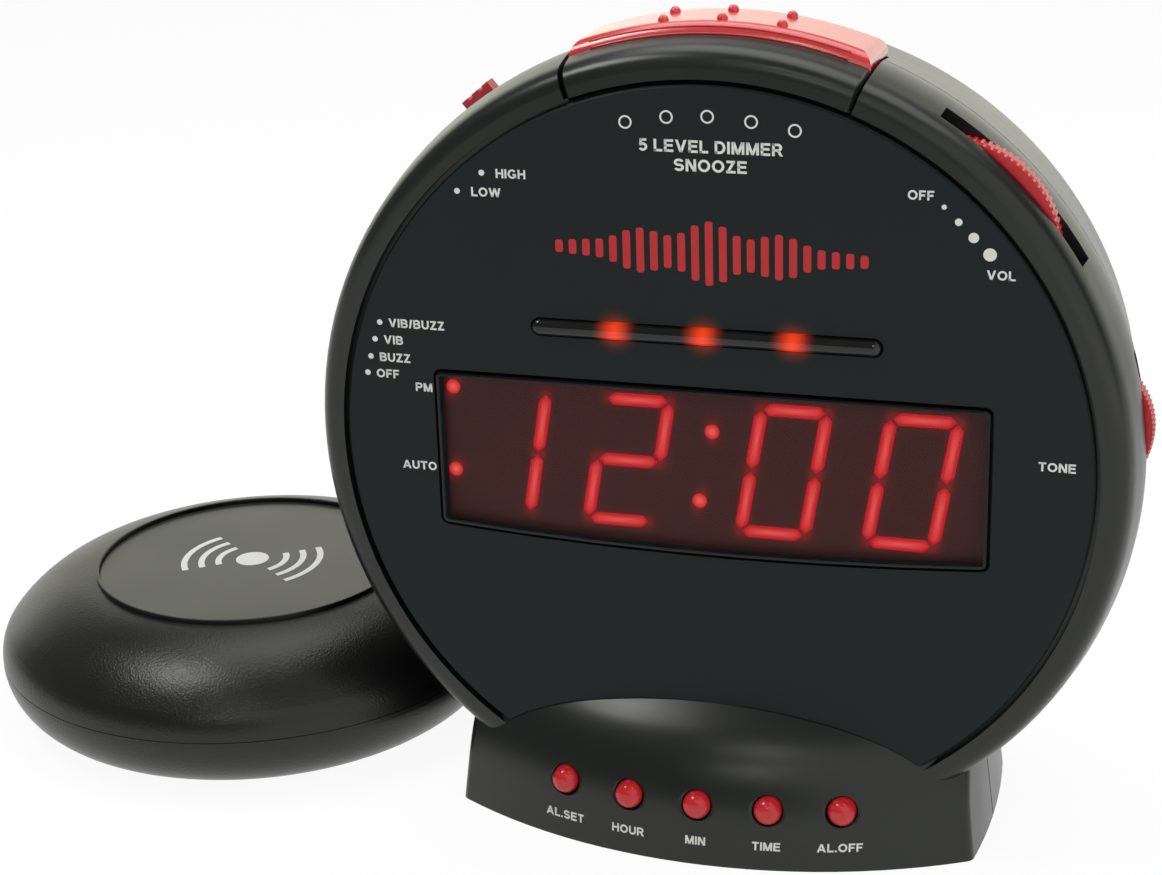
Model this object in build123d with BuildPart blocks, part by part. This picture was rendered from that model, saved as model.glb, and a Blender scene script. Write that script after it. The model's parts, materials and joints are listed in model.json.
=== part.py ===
from build123d import *
import os
from math import asin, atan2, cos, degrees, hypot, radians, sin, sqrt, tan

# A bed shaker alarm clock in millimetres: a round desk clock on a control foot, and the separate
# round shaker that stands beside it. +Z is up and the face looks along -Y.
# The origin is on the floor, straight under the middle of the face.

os.makedirs("parts", exist_ok=True)

# Casing: a drum lying on its side, split into a front and a rear half
CASE_RADIUS = 73.8
CASE_SINK = 1.8
CASE_DEPTH = 55.0
WALL = 2.4
PARTING_DEPTH = 17.0
PARTING_DROP = 0.4
PARTING_LINE = 0.5
PARTING_LINE_DEPTH = 0.9
RIM_WIDTH = 6.3
RIM_LAND = 1.8
RIM_CROWN_DEPTH = 7.0
RIM_CROWN_DROP = 0.5
RIM_CROWN_LEAN = 10.5
REAR_TAPER = 2.4
REAR_TAPER_END = 32.0
BACK_TAPER = 3.0
BACK_ROUND = 16.0

# Face plate, seated on a ledge inside the rim
FACE_GROOVE = 0.85
FACE_THICKNESS = 2.2
FACE_EDGE = 0.4
LEDGE_WIDTH = 3.0
LEDGE_THICKNESS = 2.0

# Control foot: a domed front, bowed drafted sides and a flat underside
FOOT_FRONT = 13.0
FOOT_BACK = 45.0
FOOT_ROUND = 95.0
FOOT_HALF_WIDTH = 49.5
FOOT_WIDEST = 20.0
FOOT_SIDE_ROUND = 150.0
FOOT_DRAFT = 7.0
FOOT_TOP = 25.8
FOOT_SHOULDER = 18.0
FOOT_LEAN = 2.5
FOOT_SHOULDER_ROUND = 24.0
FOOT_CORNER = 8.0
FOOT_EDGE = 2.2

# Display
WINDOW_HALF_WIDTH = 49.6
WINDOW_TOP = 14.1
WINDOW_BOTTOM = -15.6
WINDOW_BOW = 2.0
WINDOW_CORNER = 1.6
LENS_RECESS = 0.1
LENS_GAP = 0.45
MODULE_MARGIN = 3.6
MODULE_THICKNESS = 8.0
MODULE_POST = 4.0
MODULE_POST_X = 30.0
DIGIT_CENTRES = (-36.9, -14.5, 13.4, 35.8)
DIGIT_WIDTH = 11.4
DIGIT_HEIGHT = 22.9
DIGIT_HEIGHT_OFFSET = -1.3
DIGIT_STROKE = 2.25
DIGIT_GAP = 0.35
DIGIT_SLANT = 9.8
SEGMENT_DEPTH = 0.8
COLON_DOTS = ((0.8, 5.3), (-1.6, -7.8))
SIGN_DOTS = ((-46.7, 10.2), (-47.0, -5.6))
DOT_RADIUS = 1.3

# Light bar over the display
BAR_LENGTH = 61.5
BAR_HEIGHT = 3.0
BAR_Z = 23.2
BAR_FLANGE = 1.2
BAR_FLANGE_THICKNESS = 0.6
BAR_PROUD = 1.2
BAR_ROUND = 1.4
ALERT_LED = 2.8
ALERT_LED_THICKNESS = 1.0
ALERT_LED_PITCH = 15.6
ALERT_STRIP_HEIGHT = 6.0
ALERT_STRIP_THICKNESS = 1.0

# Snooze bar on the crown of the rim
SNOOZE_ANGLE = 89.25
SNOOZE_HALF_ANGLE = 20.8
SNOOZE_SLIT = 0.4
SNOOZE_FRONT = 8.0
SNOOZE_BACK = 24.2
SNOOZE_PROUD = 1.5
SNOOZE_ROUND = 3.0
SNOOZE_BEVEL = 0.7
SNOOZE_NOSE = 3.0
SNOOZE_TRAVEL = 0.5
NUB_RADIUS = 1.0
NUB_ANGLE = 7.8
NUB_ROWS = (12.0, 19.8)
SNOOZE_POST = 4.0
TACT_SIZE = 6.0
TACT_HEIGHT = 3.5
TACT_PLUNGER = 3.0
TACT_PLUNGER_HEIGHT = 0.8

# Thumb wheels in the rim, each on its own dial pot
VOLUME_ANGLE = 44.5
VOLUME_PROUD = 1.25
VOLUME_DISPLAY_GAP = 2.6
VOLUME_SLOT_MARGIN = 2.7
VOLUME_POT_RADIUS = 8.5
TONE_ANGLE = 6.5
TONE_RADIUS = 13.5
TONE_PROUD = 1.4
TONE_SLOT_MARGIN = 1.4
TONE_POT_RADIUS = 4.2
WHEEL_THICKNESS = 3.4
WHEEL_SLOT_GAP = 0.4
WHEEL_SHAFT = 3.0
WHEEL_KNURLS = 96
KNURL_RADIUS = 0.36

# Slide switches in the rear half of the rim
SLIDER_LENGTH = 6.4
SLIDER_WIDTH = 3.0
SLIDER_PROUD = 2.8
SLIDER_GAP = 0.35
SLIDER_GRIP = 0.5
LEVEL_ANGLE = 129.85
LEVEL_TRAVEL = 3.5
MODE_ANGLE = 164.0
MODE_TRAVEL = 10.2
SWITCH_DEPTH = 4.4
SWITCH_RISE = 6.0
SWITCH_MARGIN = 1.0

# Push buttons in the foot
BUTTON_NAMES = ("alarm_set_button", "hour_button", "minute_button", "time_button", "alarm_off_button")
BUTTON_PITCH = 12.75
BUTTON_MIDDLE = 0.4
BUTTON_HEIGHT = 11.0
BUTTON_RADIUS = 2.5
BUTTON_PROUD = 1.9
BUTTON_DOME = 2.1
BUTTON_GAP = 0.3
BUTTON_DISH_RADIUS = 3.6
BUTTON_DISH = 0.5
BUTTON_FLANGE = 0.8
BUTTON_FLANGE_THICKNESS = 1.0
BUTTON_STEM = 1.6
BUTTON_TRAVEL = 0.6
KEY_BOARD_DEPTH = 4.6
KEY_BOARD_HALF_WIDTH = 31.0
KEY_BOARD_BOTTOM = 5.0
KEY_BOARD_TOP = 20.0
KEY_POST_X = 19.1
KEY_POST_HEIGHT = 17.0
KEY_POST_RADIUS = 2.3

# Boards, bosses and screws
BOARD_THICKNESS = 1.6
BOARD_GAP = 2.0
BOARD_INSET = 7.8
BOARD_FOOT_GAP = 6.2
BOARD_BOSS_ANGLES = (66.0, 114.0, 210.0, 330.0)
BOARD_BOSS_INSET = 14.0
CHIP_SIZE = (18.0, 9.0, 4.0)
REGULATOR_SIZE = (12.0, 10.0, 4.0)
CAPACITOR_RADIUS = 3.2
CAPACITOR_HEIGHT = 7.0
COMPONENT_MARGIN = 6.0
BOSS_RADIUS = 3.4
CASE_BOSS_ANGLES = (64.5, 115.5, 205.0, 335.0)
CASE_BOSS_INSET = 4.4
SCREW_RADIUS = 1.4
SCREW_GAP = 0.25
SCREW_HEAD_RADIUS = 2.6
SCREW_HEAD = 1.8
CASE_SCREW_SEAT = 13.0
CASE_SCREW_BITE = 9.0
SMALL_SCREW_BITE = 5.0

# Speaker behind the grille in the back
SPEAKER_Z = 8.0
SPEAKER_RADIUS = 28.0
SPEAKER_RIM = 2.0
SPEAKER_DEPTH = 14.0
SPEAKER_NECK = 12.5
SPEAKER_SKIN = 1.0
MAGNET_RADIUS = 15.0
MAGNET_THICKNESS = 8.0
GRILLE_PITCH = 5.2
GRILLE_HOLE = 1.3
GRILLE_RINGS = 4

# Sockets in the back
JACK_INSET = 37.8
JACK_X = 20.0
JACK_FLANGE = 1.2
POWER_JACK_RADIUS = 4.0
POWER_JACK_BORE = 3.1
POWER_JACK_PIN = 1.05
SHAKER_JACK_RADIUS = 3.0
SHAKER_JACK_BORE = 1.8
JACK_BODY = 12.0

# Underside: base plate, grip pads and the bay for the backup battery
BASE_THICKNESS = 2.4
BASE_GAP = 0.2
BASE_SCREW_DEPTHS = (8.0, 28.0)
BASE_SCREW_INSET = 4.4
BASE_BOSS_TOP = 14.0
PAD_RADIUS = 4.5
PAD_THICKNESS = 1.2
PAD_INSET = 11.8
PAD_DEPTHS = (3.0, 35.5)
BAY_LENGTH = 51.5
BAY_WIDTH = 27.2
BAY_HEIGHT = 18.2
BAY_WALL = 1.5
BAY_GAP = 0.8
BAY_FLANGE = 4.0
BAY_FLANGE_THICKNESS = 1.2
DOOR_LIP = 2.0
DOOR_THICKNESS = 2.2
DOOR_GAP = 0.3
SNAP_PLATE = 1.2
SNAP_STUD = 2.8
SNAP_SOCKET = 4.0
SNAP_PITCH = 12.7
SNAP_HEIGHT = 2.6

# Shaker: two round shells round a motor with an off-centre weight
SHAKER_X = -106.7
SHAKER_DEPTH = 37.3
SHAKER_RADIUS = 52.2
SHAKER_TUCK = 9.2
SHAKER_HEIGHT = 28.7
SHAKER_PARTING = 12.6
SHAKER_SHOULDER = 15.8
SHAKER_SHOULDER_ROUND = 8.0
SHAKER_SLOPE = 20.3
SHAKER_LIP = 0.9
SHAKER_LIP_EDGE = 0.2
SHAKER_WALL = 2.5
SHAKER_LINE = 0.15
LABEL_RIM = 0.7
LABEL_RECESS = 1.3
LABEL_THICKNESS = 0.4
LABEL_GAP = 0.2
MOTOR_RADIUS = 9.0
MOTOR_LENGTH = 26.0
MOTOR_SHIFT = -8.0
MOTOR_AXIS = 13.2
MOTOR_SHAFT = 1.2
MOTOR_SHAFT_LENGTH = 15.0
MOTOR_BEARING = 4.0
RUNNING_GAP = 0.05
WEIGHT_RADIUS = 9.0
WEIGHT_LENGTH = 9.0
WEIGHT_HUB = 3.2
WEIGHT_STANDOFF = 3.0
CRADLE_HALF_WIDTH = 12.5
CRADLE_CHEEK = 4.0
CRADLE_BASE = 1.6
STRAP_THICKNESS = 1.2
STRAP_WIDTH = 7.0
SHAKER_BOSS_INSET = 15.2
SHAKER_BOSS_ANGLES = (30.0, 150.0, 270.0)
GLAND_RADIUS = 4.2
GLAND_BORE = 2.3
GLAND_COLLAR = 1.4
GLAND_LENGTH = 10.0

# Values worked out from the sizes above
FACE_Y = 0.0
FACE_HEIGHT = CASE_RADIUS - CASE_SINK
CROWN_WAY = (sin(radians(RIM_CROWN_LEAN)), cos(radians(RIM_CROWN_LEAN)))
PARTING_RADIUS = CASE_RADIUS - PARTING_DROP
RIM_RADIUS = CASE_RADIUS - RIM_WIDTH
FACE_RADIUS = RIM_RADIUS - FACE_GROOVE
LEDGE_RADIUS = RIM_RADIUS - LEDGE_WIDTH
LEDGE_DEPTH = FACE_THICKNESS + LEDGE_THICKNESS
CAVITY_RADIUS = PARTING_RADIUS - WALL
BOARD_RADIUS = CASE_RADIUS - BOARD_INSET
BOARD_CUT = FOOT_TOP + BOARD_FOOT_GAP - FACE_HEIGHT
BOARD_DEPTH = PARTING_DEPTH + BOARD_GAP
BOARD_BACK = BOARD_DEPTH + BOARD_THICKNESS
MODULE_BACK = FACE_THICKNESS + MODULE_THICKNESS
LED_FRONT = FACE_THICKNESS + BAR_FLANGE_THICKNESS
STRIP_BACK = LED_FRONT + ALERT_LED_THICKNESS + ALERT_STRIP_THICKNESS
VOLUME_FRONT = STRIP_BACK + WHEEL_SLOT_GAP
VOLUME_RISE = sin(radians(VOLUME_ANGLE))
VOLUME_FLOOR = WINDOW_TOP + MODULE_MARGIN + VOLUME_DISPLAY_GAP
VOLUME_RADIUS = ((CASE_RADIUS + VOLUME_PROUD) * VOLUME_RISE - VOLUME_FLOOR) / (1 + VOLUME_RISE)
TONE_FRONT = PARTING_DEPTH - WHEEL_SLOT_GAP - WHEEL_THICKNESS
BACK_WALL = CASE_DEPTH - WALL
JACK_Z = JACK_INSET - CASE_RADIUS
FOOT_AXIS_DEPTH = FOOT_ROUND - FOOT_FRONT
FRONT_LEAN = atan2(FOOT_LEAN, FOOT_SHOULDER)
TOP_LEAN = atan2(FOOT_ROUND - FOOT_LEAN - FOOT_AXIS_DEPTH, FOOT_TOP - FOOT_SHOULDER)
ROUND_RUN = FOOT_SHOULDER_ROUND * tan((TOP_LEAN - FRONT_LEAN) / 2)
ROUND_START = FOOT_SHOULDER - ROUND_RUN * cos(FRONT_LEAN)
ROUND_HEIGHT = ROUND_START - FOOT_SHOULDER_ROUND * sin(FRONT_LEAN)
ROUND_REACH = FOOT_ROUND - ROUND_START * tan(FRONT_LEAN) - FOOT_SHOULDER_ROUND * cos(FRONT_LEAN)
CASE_BOSS_CIRCLE = CAVITY_RADIUS - CASE_BOSS_INSET
SNOOZE_INNER = CASE_RADIUS - 3.0
SNOOZE_TOP = CASE_RADIUS + SNOOZE_PROUD
SLIDER_DEPTH = BOARD_BACK + SWITCH_DEPTH / 2
SLIDER_FOOT = BOARD_RADIUS + 0.9
BUTTON_XS = [BUTTON_MIDDLE + BUTTON_PITCH * (i - 2) for i in range(5)]
KEY_SWITCH_FRONT = KEY_BOARD_DEPTH - TACT_HEIGHT - TACT_PLUNGER_HEIGHT
BAY_TOP = BASE_THICKNESS + BAY_HEIGHT + BAY_WALL
BAY_BACK = FOOT_BACK - WALL - BAY_TOP * tan(radians(FOOT_DRAFT)) - BAY_GAP
BAY_FRONT = BAY_BACK - BAY_WIDTH - 2 * BAY_WALL
SHAKER_BASE_RADIUS = SHAKER_RADIUS - SHAKER_TUCK
SHAKER_RIM_RADIUS = SHAKER_RADIUS - SHAKER_SLOPE
LABEL_RADIUS = SHAKER_RIM_RADIUS - LABEL_RIM
FAR = 300.0

FACE = Plane(origin=(0, FACE_Y, FACE_HEIGHT), x_dir=(1, 0, 0), z_dir=(0, -1, 0))
CASE_AXIS = Axis((0, FACE_Y, FACE_HEIGHT), (0, -1, 0))


def behind_face(depth):
    """A plane parallel to the face, drawn in x and height from the face's centre, facing the viewer."""
    return FACE.offset(-depth)


def rim_section(angle=0.0):
    """The half plane through the casing's axis at a clock-face angle, drawn in radius and depth."""
    turn = radians(angle)
    return Plane(
        origin=(0, FACE_Y, FACE_HEIGHT),
        x_dir=(cos(turn), 0, sin(turn)),
        z_dir=(-sin(turn), 0, cos(turn)),
    )


def on_rim(angle, depth, radius):
    """A plane on the rim: x runs round the rim, y towards the viewer and z straight out."""
    turn = radians(angle)
    return Plane(
        origin=(radius * cos(turn), FACE_Y + depth, FACE_HEIGHT + radius * sin(turn)),
        x_dir=(-sin(turn), 0, cos(turn)),
        z_dir=(cos(turn), 0, sin(turn)),
    )


def on_floor(height):
    """A level plane at a height, drawn in x and depth behind the face."""
    return Plane(origin=(0, FACE_Y, height), x_dir=(1, 0, 0), z_dir=(0, 0, 1))


def around_case(angle, radius):
    """A point on a circle round the face's centre, in x and height."""
    return radius * cos(radians(angle)), radius * sin(radians(angle))


def half_chord_angle(centre, radius, crossing):
    """Half the angle that a wheel takes up where it crosses a larger circle."""
    cosine = (centre**2 + crossing**2 - radius**2) / (2 * centre * crossing)
    return degrees(atan2(sqrt(1 - cosine**2), cosine))


def foot_half_width(depth):
    """Half the width of the foot on the floor, at a depth behind the face."""
    bow = FOOT_SIDE_ROUND - sqrt(FOOT_SIDE_ROUND**2 - (depth - FOOT_WIDEST) ** 2)
    return FOOT_HALF_WIDTH - bow


def foot_front_depth(x, height):
    """The depth of the foot's front surface, up to the end of its rounded shoulder."""
    if height < ROUND_START:
        reach = FOOT_ROUND - height * tan(FRONT_LEAN)
    else:
        reach = ROUND_REACH + sqrt(FOOT_SHOULDER_ROUND**2 - (height - ROUND_HEIGHT) ** 2)
    return FOOT_AXIS_DEPTH - sqrt(reach**2 - x**2)


def foot_front_tilt(height):
    """How far the foot's front surface faces upwards at a height, as an angle."""
    if height < ROUND_START:
        return FRONT_LEAN
    return asin((height - ROUND_HEIGHT) / FOOT_SHOULDER_ROUND)


def save(builder, name):
    """Name a finished piece and write it."""
    builder.part.label = name
    export_step(builder.part, f"parts/{name}.step")


def foot_solid(grow, bottom=0.0, edge=0.0):
    """The foot as a solid, with its walls moved out by an amount, standing at a height."""
    ahead = -2 * FOOT_FRONT
    with BuildPart() as foot:
        with BuildSketch(on_floor(bottom)):
            with BuildLine():
                ends = [(foot_half_width(depth), depth) for depth in (ahead, FOOT_BACK)]
                mirror_ends = [(-x, depth) for x, depth in ends]
                Line(mirror_ends[0], ends[0])
                ThreePointArc(ends[0], (FOOT_HALF_WIDTH, FOOT_WIDEST), ends[1])
                Line(ends[1], mirror_ends[1])
                ThreePointArc(mirror_ends[1], (-FOOT_HALF_WIDTH, FOOT_WIDEST), mirror_ends[0])
            make_face()
            fillet(vertices().group_by(Axis.Y)[-1], FOOT_CORNER)
            if grow or bottom:
                offset(amount=grow - bottom * tan(radians(FOOT_DRAFT)))
        extrude(amount=2 * FOOT_TOP, taper=FOOT_DRAFT)
        dome = Plane(origin=(0, FACE_Y + FOOT_AXIS_DEPTH, 0), x_dir=(0, 1, 0), z_dir=(1, 0, 0))
        with BuildSketch(dome):
            with BuildLine():
                Polyline(
                    (FOOT_ROUND / 5, -FOOT_TOP),
                    (FOOT_ROUND + FOOT_LEAN * FOOT_TOP / FOOT_SHOULDER, -FOOT_TOP),
                    (FOOT_ROUND - FOOT_LEAN, FOOT_SHOULDER),
                    (FOOT_AXIS_DEPTH, FOOT_TOP),
                    (FOOT_ROUND / 5, FOOT_TOP),
                    close=True,
                )
            make_face()
            shoulder = (FOOT_ROUND - FOOT_LEAN, FOOT_SHOULDER, 0)
            fillet(vertices().sort_by_distance(shoulder)[0], FOOT_SHOULDER_ROUND)
            if grow:
                offset(amount=grow)
        revolve(axis=Axis((0, FACE_Y + FOOT_AXIS_DEPTH, 0), (0, 0, 1)), mode=Mode.INTERSECT)
        if edge:
            corners = foot.edges().filter_by(lambda e: abs(abs(e.center().X) - FOOT_HALF_WIDTH) < 5)
            corners = corners.filter_by(lambda e: abs(e.center().Y - FACE_Y) < FOOT_FRONT and e.center().Z > 1)
            fillet(corners, edge)
    return foot.part


def slab(front, back):
    """A wide block between two depths behind the face."""
    with BuildPart() as block:
        with BuildSketch(behind_face(back)):
            Rectangle(FAR, FAR)
        extrude(amount=back - front)
    return block.part


def rim_front_line():
    """The outside of the front half in radius and depth, from the groove to the crown."""
    start = (RIM_RADIUS, 0)
    land = (RIM_RADIUS + RIM_LAND, RIM_LAND / 9)
    crown = (CASE_RADIUS - RIM_CROWN_DROP, RIM_CROWN_DEPTH)
    middle = (CASE_RADIUS - 1.45, RIM_CROWN_DEPTH * 0.37)
    Line(start, land)
    Spline(land, middle, crown, tangents=((1, 1 / 9), CROWN_WAY))
    return crown


def rear_drum(inset):
    """The rear half of the casing as a solid drum, its skin moved in by a wall."""
    back = CASE_DEPTH - inset
    back_radius = PARTING_RADIUS - REAR_TAPER - BACK_TAPER - inset
    with BuildPart() as drum:
        with BuildSketch(rim_section()):
            with BuildLine():
                Polyline(
                    (0, PARTING_DEPTH),
                    (PARTING_RADIUS - inset, PARTING_DEPTH),
                    (PARTING_RADIUS - REAR_TAPER - inset, REAR_TAPER_END),
                    (back_radius, back),
                    (0, back),
                    close=True,
                )
            make_face()
            fillet(vertices().sort_by_distance((back_radius, back, 0))[0], BACK_ROUND - inset)
        revolve(axis=CASE_AXIS)
    return drum.part


def posts(points, radius, front, back):
    """Round posts between two depths, at points in x and height from the face's centre."""
    with BuildPart() as group:
        with BuildSketch(behind_face(back)):
            with Locations(*points):
                Circle(radius)
        extrude(amount=back - front)
    return group.part


def floor_posts(points, radius, bottom, top):
    """Round upright posts between two heights, at points in x and depth."""
    with BuildPart() as group:
        with BuildSketch(on_floor(bottom)):
            with Locations(*points):
                Circle(radius)
        extrude(amount=top - bottom)
    return group.part


def rim_sector(inner, outer, front, back, start, sweep):
    """A stretch of rim with a square section, between two clock-face angles."""
    with BuildPart() as stretch:
        with BuildSketch(rim_section(start)):
            with BuildLine():
                Polyline((inner, front), (outer, front), (outer, back), (inner, back), close=True)
            make_face()
        revolve(axis=CASE_AXIS, revolution_arc=sweep)
    return stretch.part


case_boss_points = [around_case(angle, CASE_BOSS_CIRCLE) for angle in CASE_BOSS_ANGLES]
board_boss_points = [around_case(angle, BOARD_RADIUS - BOARD_BOSS_INSET) for angle in BOARD_BOSS_ANGLES]
foot_outer = foot_solid(0, edge=FOOT_EDGE)
foot_inner = foot_solid(-WALL, bottom=-2 * WALL)
front_slab = slab(-FAR / 2, PARTING_DEPTH)
rear_slab = slab(PARTING_DEPTH, FAR / 2)

base_screw_points = []
for screw_depth in BASE_SCREW_DEPTHS:
    screw_x = foot_half_width(screw_depth) - WALL - BASE_SCREW_INSET
    base_screw_points += [(-screw_x, screw_depth), (screw_x, screw_depth)]
front_base_points = [p for p in base_screw_points if p[1] < PARTING_DEPTH]
rear_base_points = [p for p in base_screw_points if p[1] >= PARTING_DEPTH]

# Snooze gap in the rim, open from the groove to behind the bar
slit_angle = degrees(asin(SNOOZE_SLIT / CASE_RADIUS))
gap_half_angle = SNOOZE_HALF_ANGLE + slit_angle
snooze_gap = rim_sector(
    FACE_RADIUS + 0.1,
    CASE_RADIUS + 10,
    -10,
    SNOOZE_BACK + SNOOZE_SLIT,
    SNOOZE_ANGLE - gap_half_angle,
    2 * gap_half_angle,
)

# Front half of the casing: rim, ledge for the face plate and the front of the foot
key_post_points = [(side * KEY_POST_X, KEY_POST_HEIGHT - FACE_HEIGHT) for side in (-1, 1)]
with BuildPart() as face_recess:
    with BuildSketch(behind_face(FACE_THICKNESS)):
        Circle(RIM_RADIUS)
    extrude(amount=FACE_THICKNESS + 10)
    with BuildSketch(behind_face(LEDGE_DEPTH)):
        Circle(LEDGE_RADIUS)
    extrude(amount=LEDGE_DEPTH)
    add(foot_outer, mode=Mode.SUBTRACT)

with BuildPart() as front_cavity:
    with BuildSketch(behind_face(PARTING_DEPTH)):
        Circle(CAVITY_RADIUS)
    extrude(amount=PARTING_DEPTH - LEDGE_DEPTH)
    add(foot_inner)
    add(posts(case_boss_points, BOSS_RADIUS, LEDGE_DEPTH, PARTING_DEPTH), mode=Mode.SUBTRACT)
    add(posts(key_post_points, KEY_POST_RADIUS, -FOOT_FRONT, KEY_BOARD_DEPTH), mode=Mode.SUBTRACT)
    add(floor_posts(front_base_points, BOSS_RADIUS, BASE_THICKNESS, BASE_BOSS_TOP), mode=Mode.SUBTRACT)

volume_centre = CASE_RADIUS + VOLUME_PROUD - VOLUME_RADIUS
tone_centre = CASE_RADIUS + TONE_PROUD - TONE_RADIUS
volume_half = half_chord_angle(volume_centre, VOLUME_RADIUS, CAVITY_RADIUS) + VOLUME_SLOT_MARGIN
tone_half = half_chord_angle(tone_centre, TONE_RADIUS, CAVITY_RADIUS) + TONE_SLOT_MARGIN

with BuildPart() as front_case:
    with BuildSketch(rim_section()):
        with BuildLine():
            crown = rim_front_line()
            TangentArc(crown, (PARTING_RADIUS, PARTING_DEPTH), tangent=CROWN_WAY)
            Polyline(
                (PARTING_RADIUS, PARTING_DEPTH),
                (0, PARTING_DEPTH),
                (0, 0),
                (RIM_RADIUS, 0),
            )
        make_face()
    revolve(axis=CASE_AXIS)
    add(foot_outer)
    add(rear_slab, mode=Mode.SUBTRACT)
    add(face_recess.part, mode=Mode.SUBTRACT)
    add(front_cavity.part, mode=Mode.SUBTRACT)
    add(snooze_gap, mode=Mode.SUBTRACT)
    add(
        rim_sector(
            LEDGE_RADIUS,
            FAR / 2,
            VOLUME_FRONT - WHEEL_SLOT_GAP,
            VOLUME_FRONT + WHEEL_THICKNESS + WHEEL_SLOT_GAP,
            VOLUME_ANGLE - volume_half,
            2 * volume_half,
        ),
        mode=Mode.SUBTRACT,
    )
    add(
        rim_sector(
            LEDGE_RADIUS,
            FAR / 2,
            TONE_FRONT - WHEEL_SLOT_GAP,
            PARTING_DEPTH + WHEEL_SLOT_GAP,
            TONE_ANGLE - tone_half,
            2 * tone_half,
        ),
        mode=Mode.SUBTRACT,
    )
    dish_ahead = (BUTTON_DISH_RADIUS**2 - BUTTON_DISH**2) / (2 * BUTTON_DISH)
    dish_level = dish_ahead * cos(foot_front_tilt(BUTTON_HEIGHT))
    dish_height = BUTTON_HEIGHT + dish_ahead * sin(foot_front_tilt(BUTTON_HEIGHT))
    for button_x in BUTTON_XS:
        skin = foot_front_depth(button_x, BUTTON_HEIGHT)
        centre = (button_x, BUTTON_HEIGHT - FACE_HEIGHT)
        turn = asin(button_x / (FOOT_AXIS_DEPTH - foot_front_depth(0, BUTTON_HEIGHT)))
        dish_x = button_x + dish_level * sin(turn)
        dish_y = FACE_Y + skin - dish_level * cos(turn)
        with Locations((dish_x, dish_y, dish_height)):
            Sphere(dish_ahead + BUTTON_DISH, mode=Mode.SUBTRACT)
        bore_start, bore_end = skin - BUTTON_RADIUS, skin + 2.5 * WALL
        add(posts([centre], BUTTON_RADIUS + BUTTON_GAP, bore_start, bore_end), mode=Mode.SUBTRACT)
    pilot_depth = PARTING_DEPTH - CASE_SCREW_BITE - 1
    add(posts(case_boss_points, SCREW_RADIUS, pilot_depth, PARTING_DEPTH), mode=Mode.SUBTRACT)
    add(
        posts(key_post_points, SCREW_RADIUS, KEY_BOARD_DEPTH - SMALL_SCREW_BITE - 1, KEY_BOARD_DEPTH),
        mode=Mode.SUBTRACT,
    )
    add(
        floor_posts(front_base_points, SCREW_RADIUS, BASE_THICKNESS, BASE_THICKNESS + SMALL_SCREW_BITE + 1),
        mode=Mode.SUBTRACT,
    )
save(front_case, "front_case")

# Rear half of the casing: tapered drum, back panel with grille and sockets, and the rear of the foot
grille_points = [(0, SPEAKER_Z)]
for ring in range(1, GRILLE_RINGS + 1):
    for k in range(6 * ring):
        hole_x, hole_z = around_case(360 * k / (6 * ring), GRILLE_PITCH * ring)
        grille_points.append((hole_x, hole_z + SPEAKER_Z))

with BuildPart() as rear_cavity:
    add(rear_drum(WALL))
    add(foot_inner)
    add(posts(case_boss_points, BOSS_RADIUS, PARTING_DEPTH, BACK_WALL), mode=Mode.SUBTRACT)
    add(posts(board_boss_points, BOSS_RADIUS, BOARD_BACK, BACK_WALL + WALL / 2), mode=Mode.SUBTRACT)
    add(floor_posts(rear_base_points, BOSS_RADIUS, BASE_THICKNESS, BASE_BOSS_TOP), mode=Mode.SUBTRACT)

with BuildPart() as parting_step:
    add(slab(PARTING_DEPTH, PARTING_DEPTH + PARTING_LINE))
    add(posts([(0, 0)], PARTING_RADIUS - PARTING_LINE_DEPTH, 0, CASE_DEPTH), mode=Mode.SUBTRACT)
    add(foot_solid(-PARTING_LINE_DEPTH, bottom=-2 * WALL), mode=Mode.SUBTRACT)

door_half_width = BAY_LENGTH / 2 + DOOR_LIP
door_front = BAY_FRONT + BAY_WALL - DOOR_LIP
seat_depth = PARTING_DEPTH + CASE_SCREW_SEAT

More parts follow.
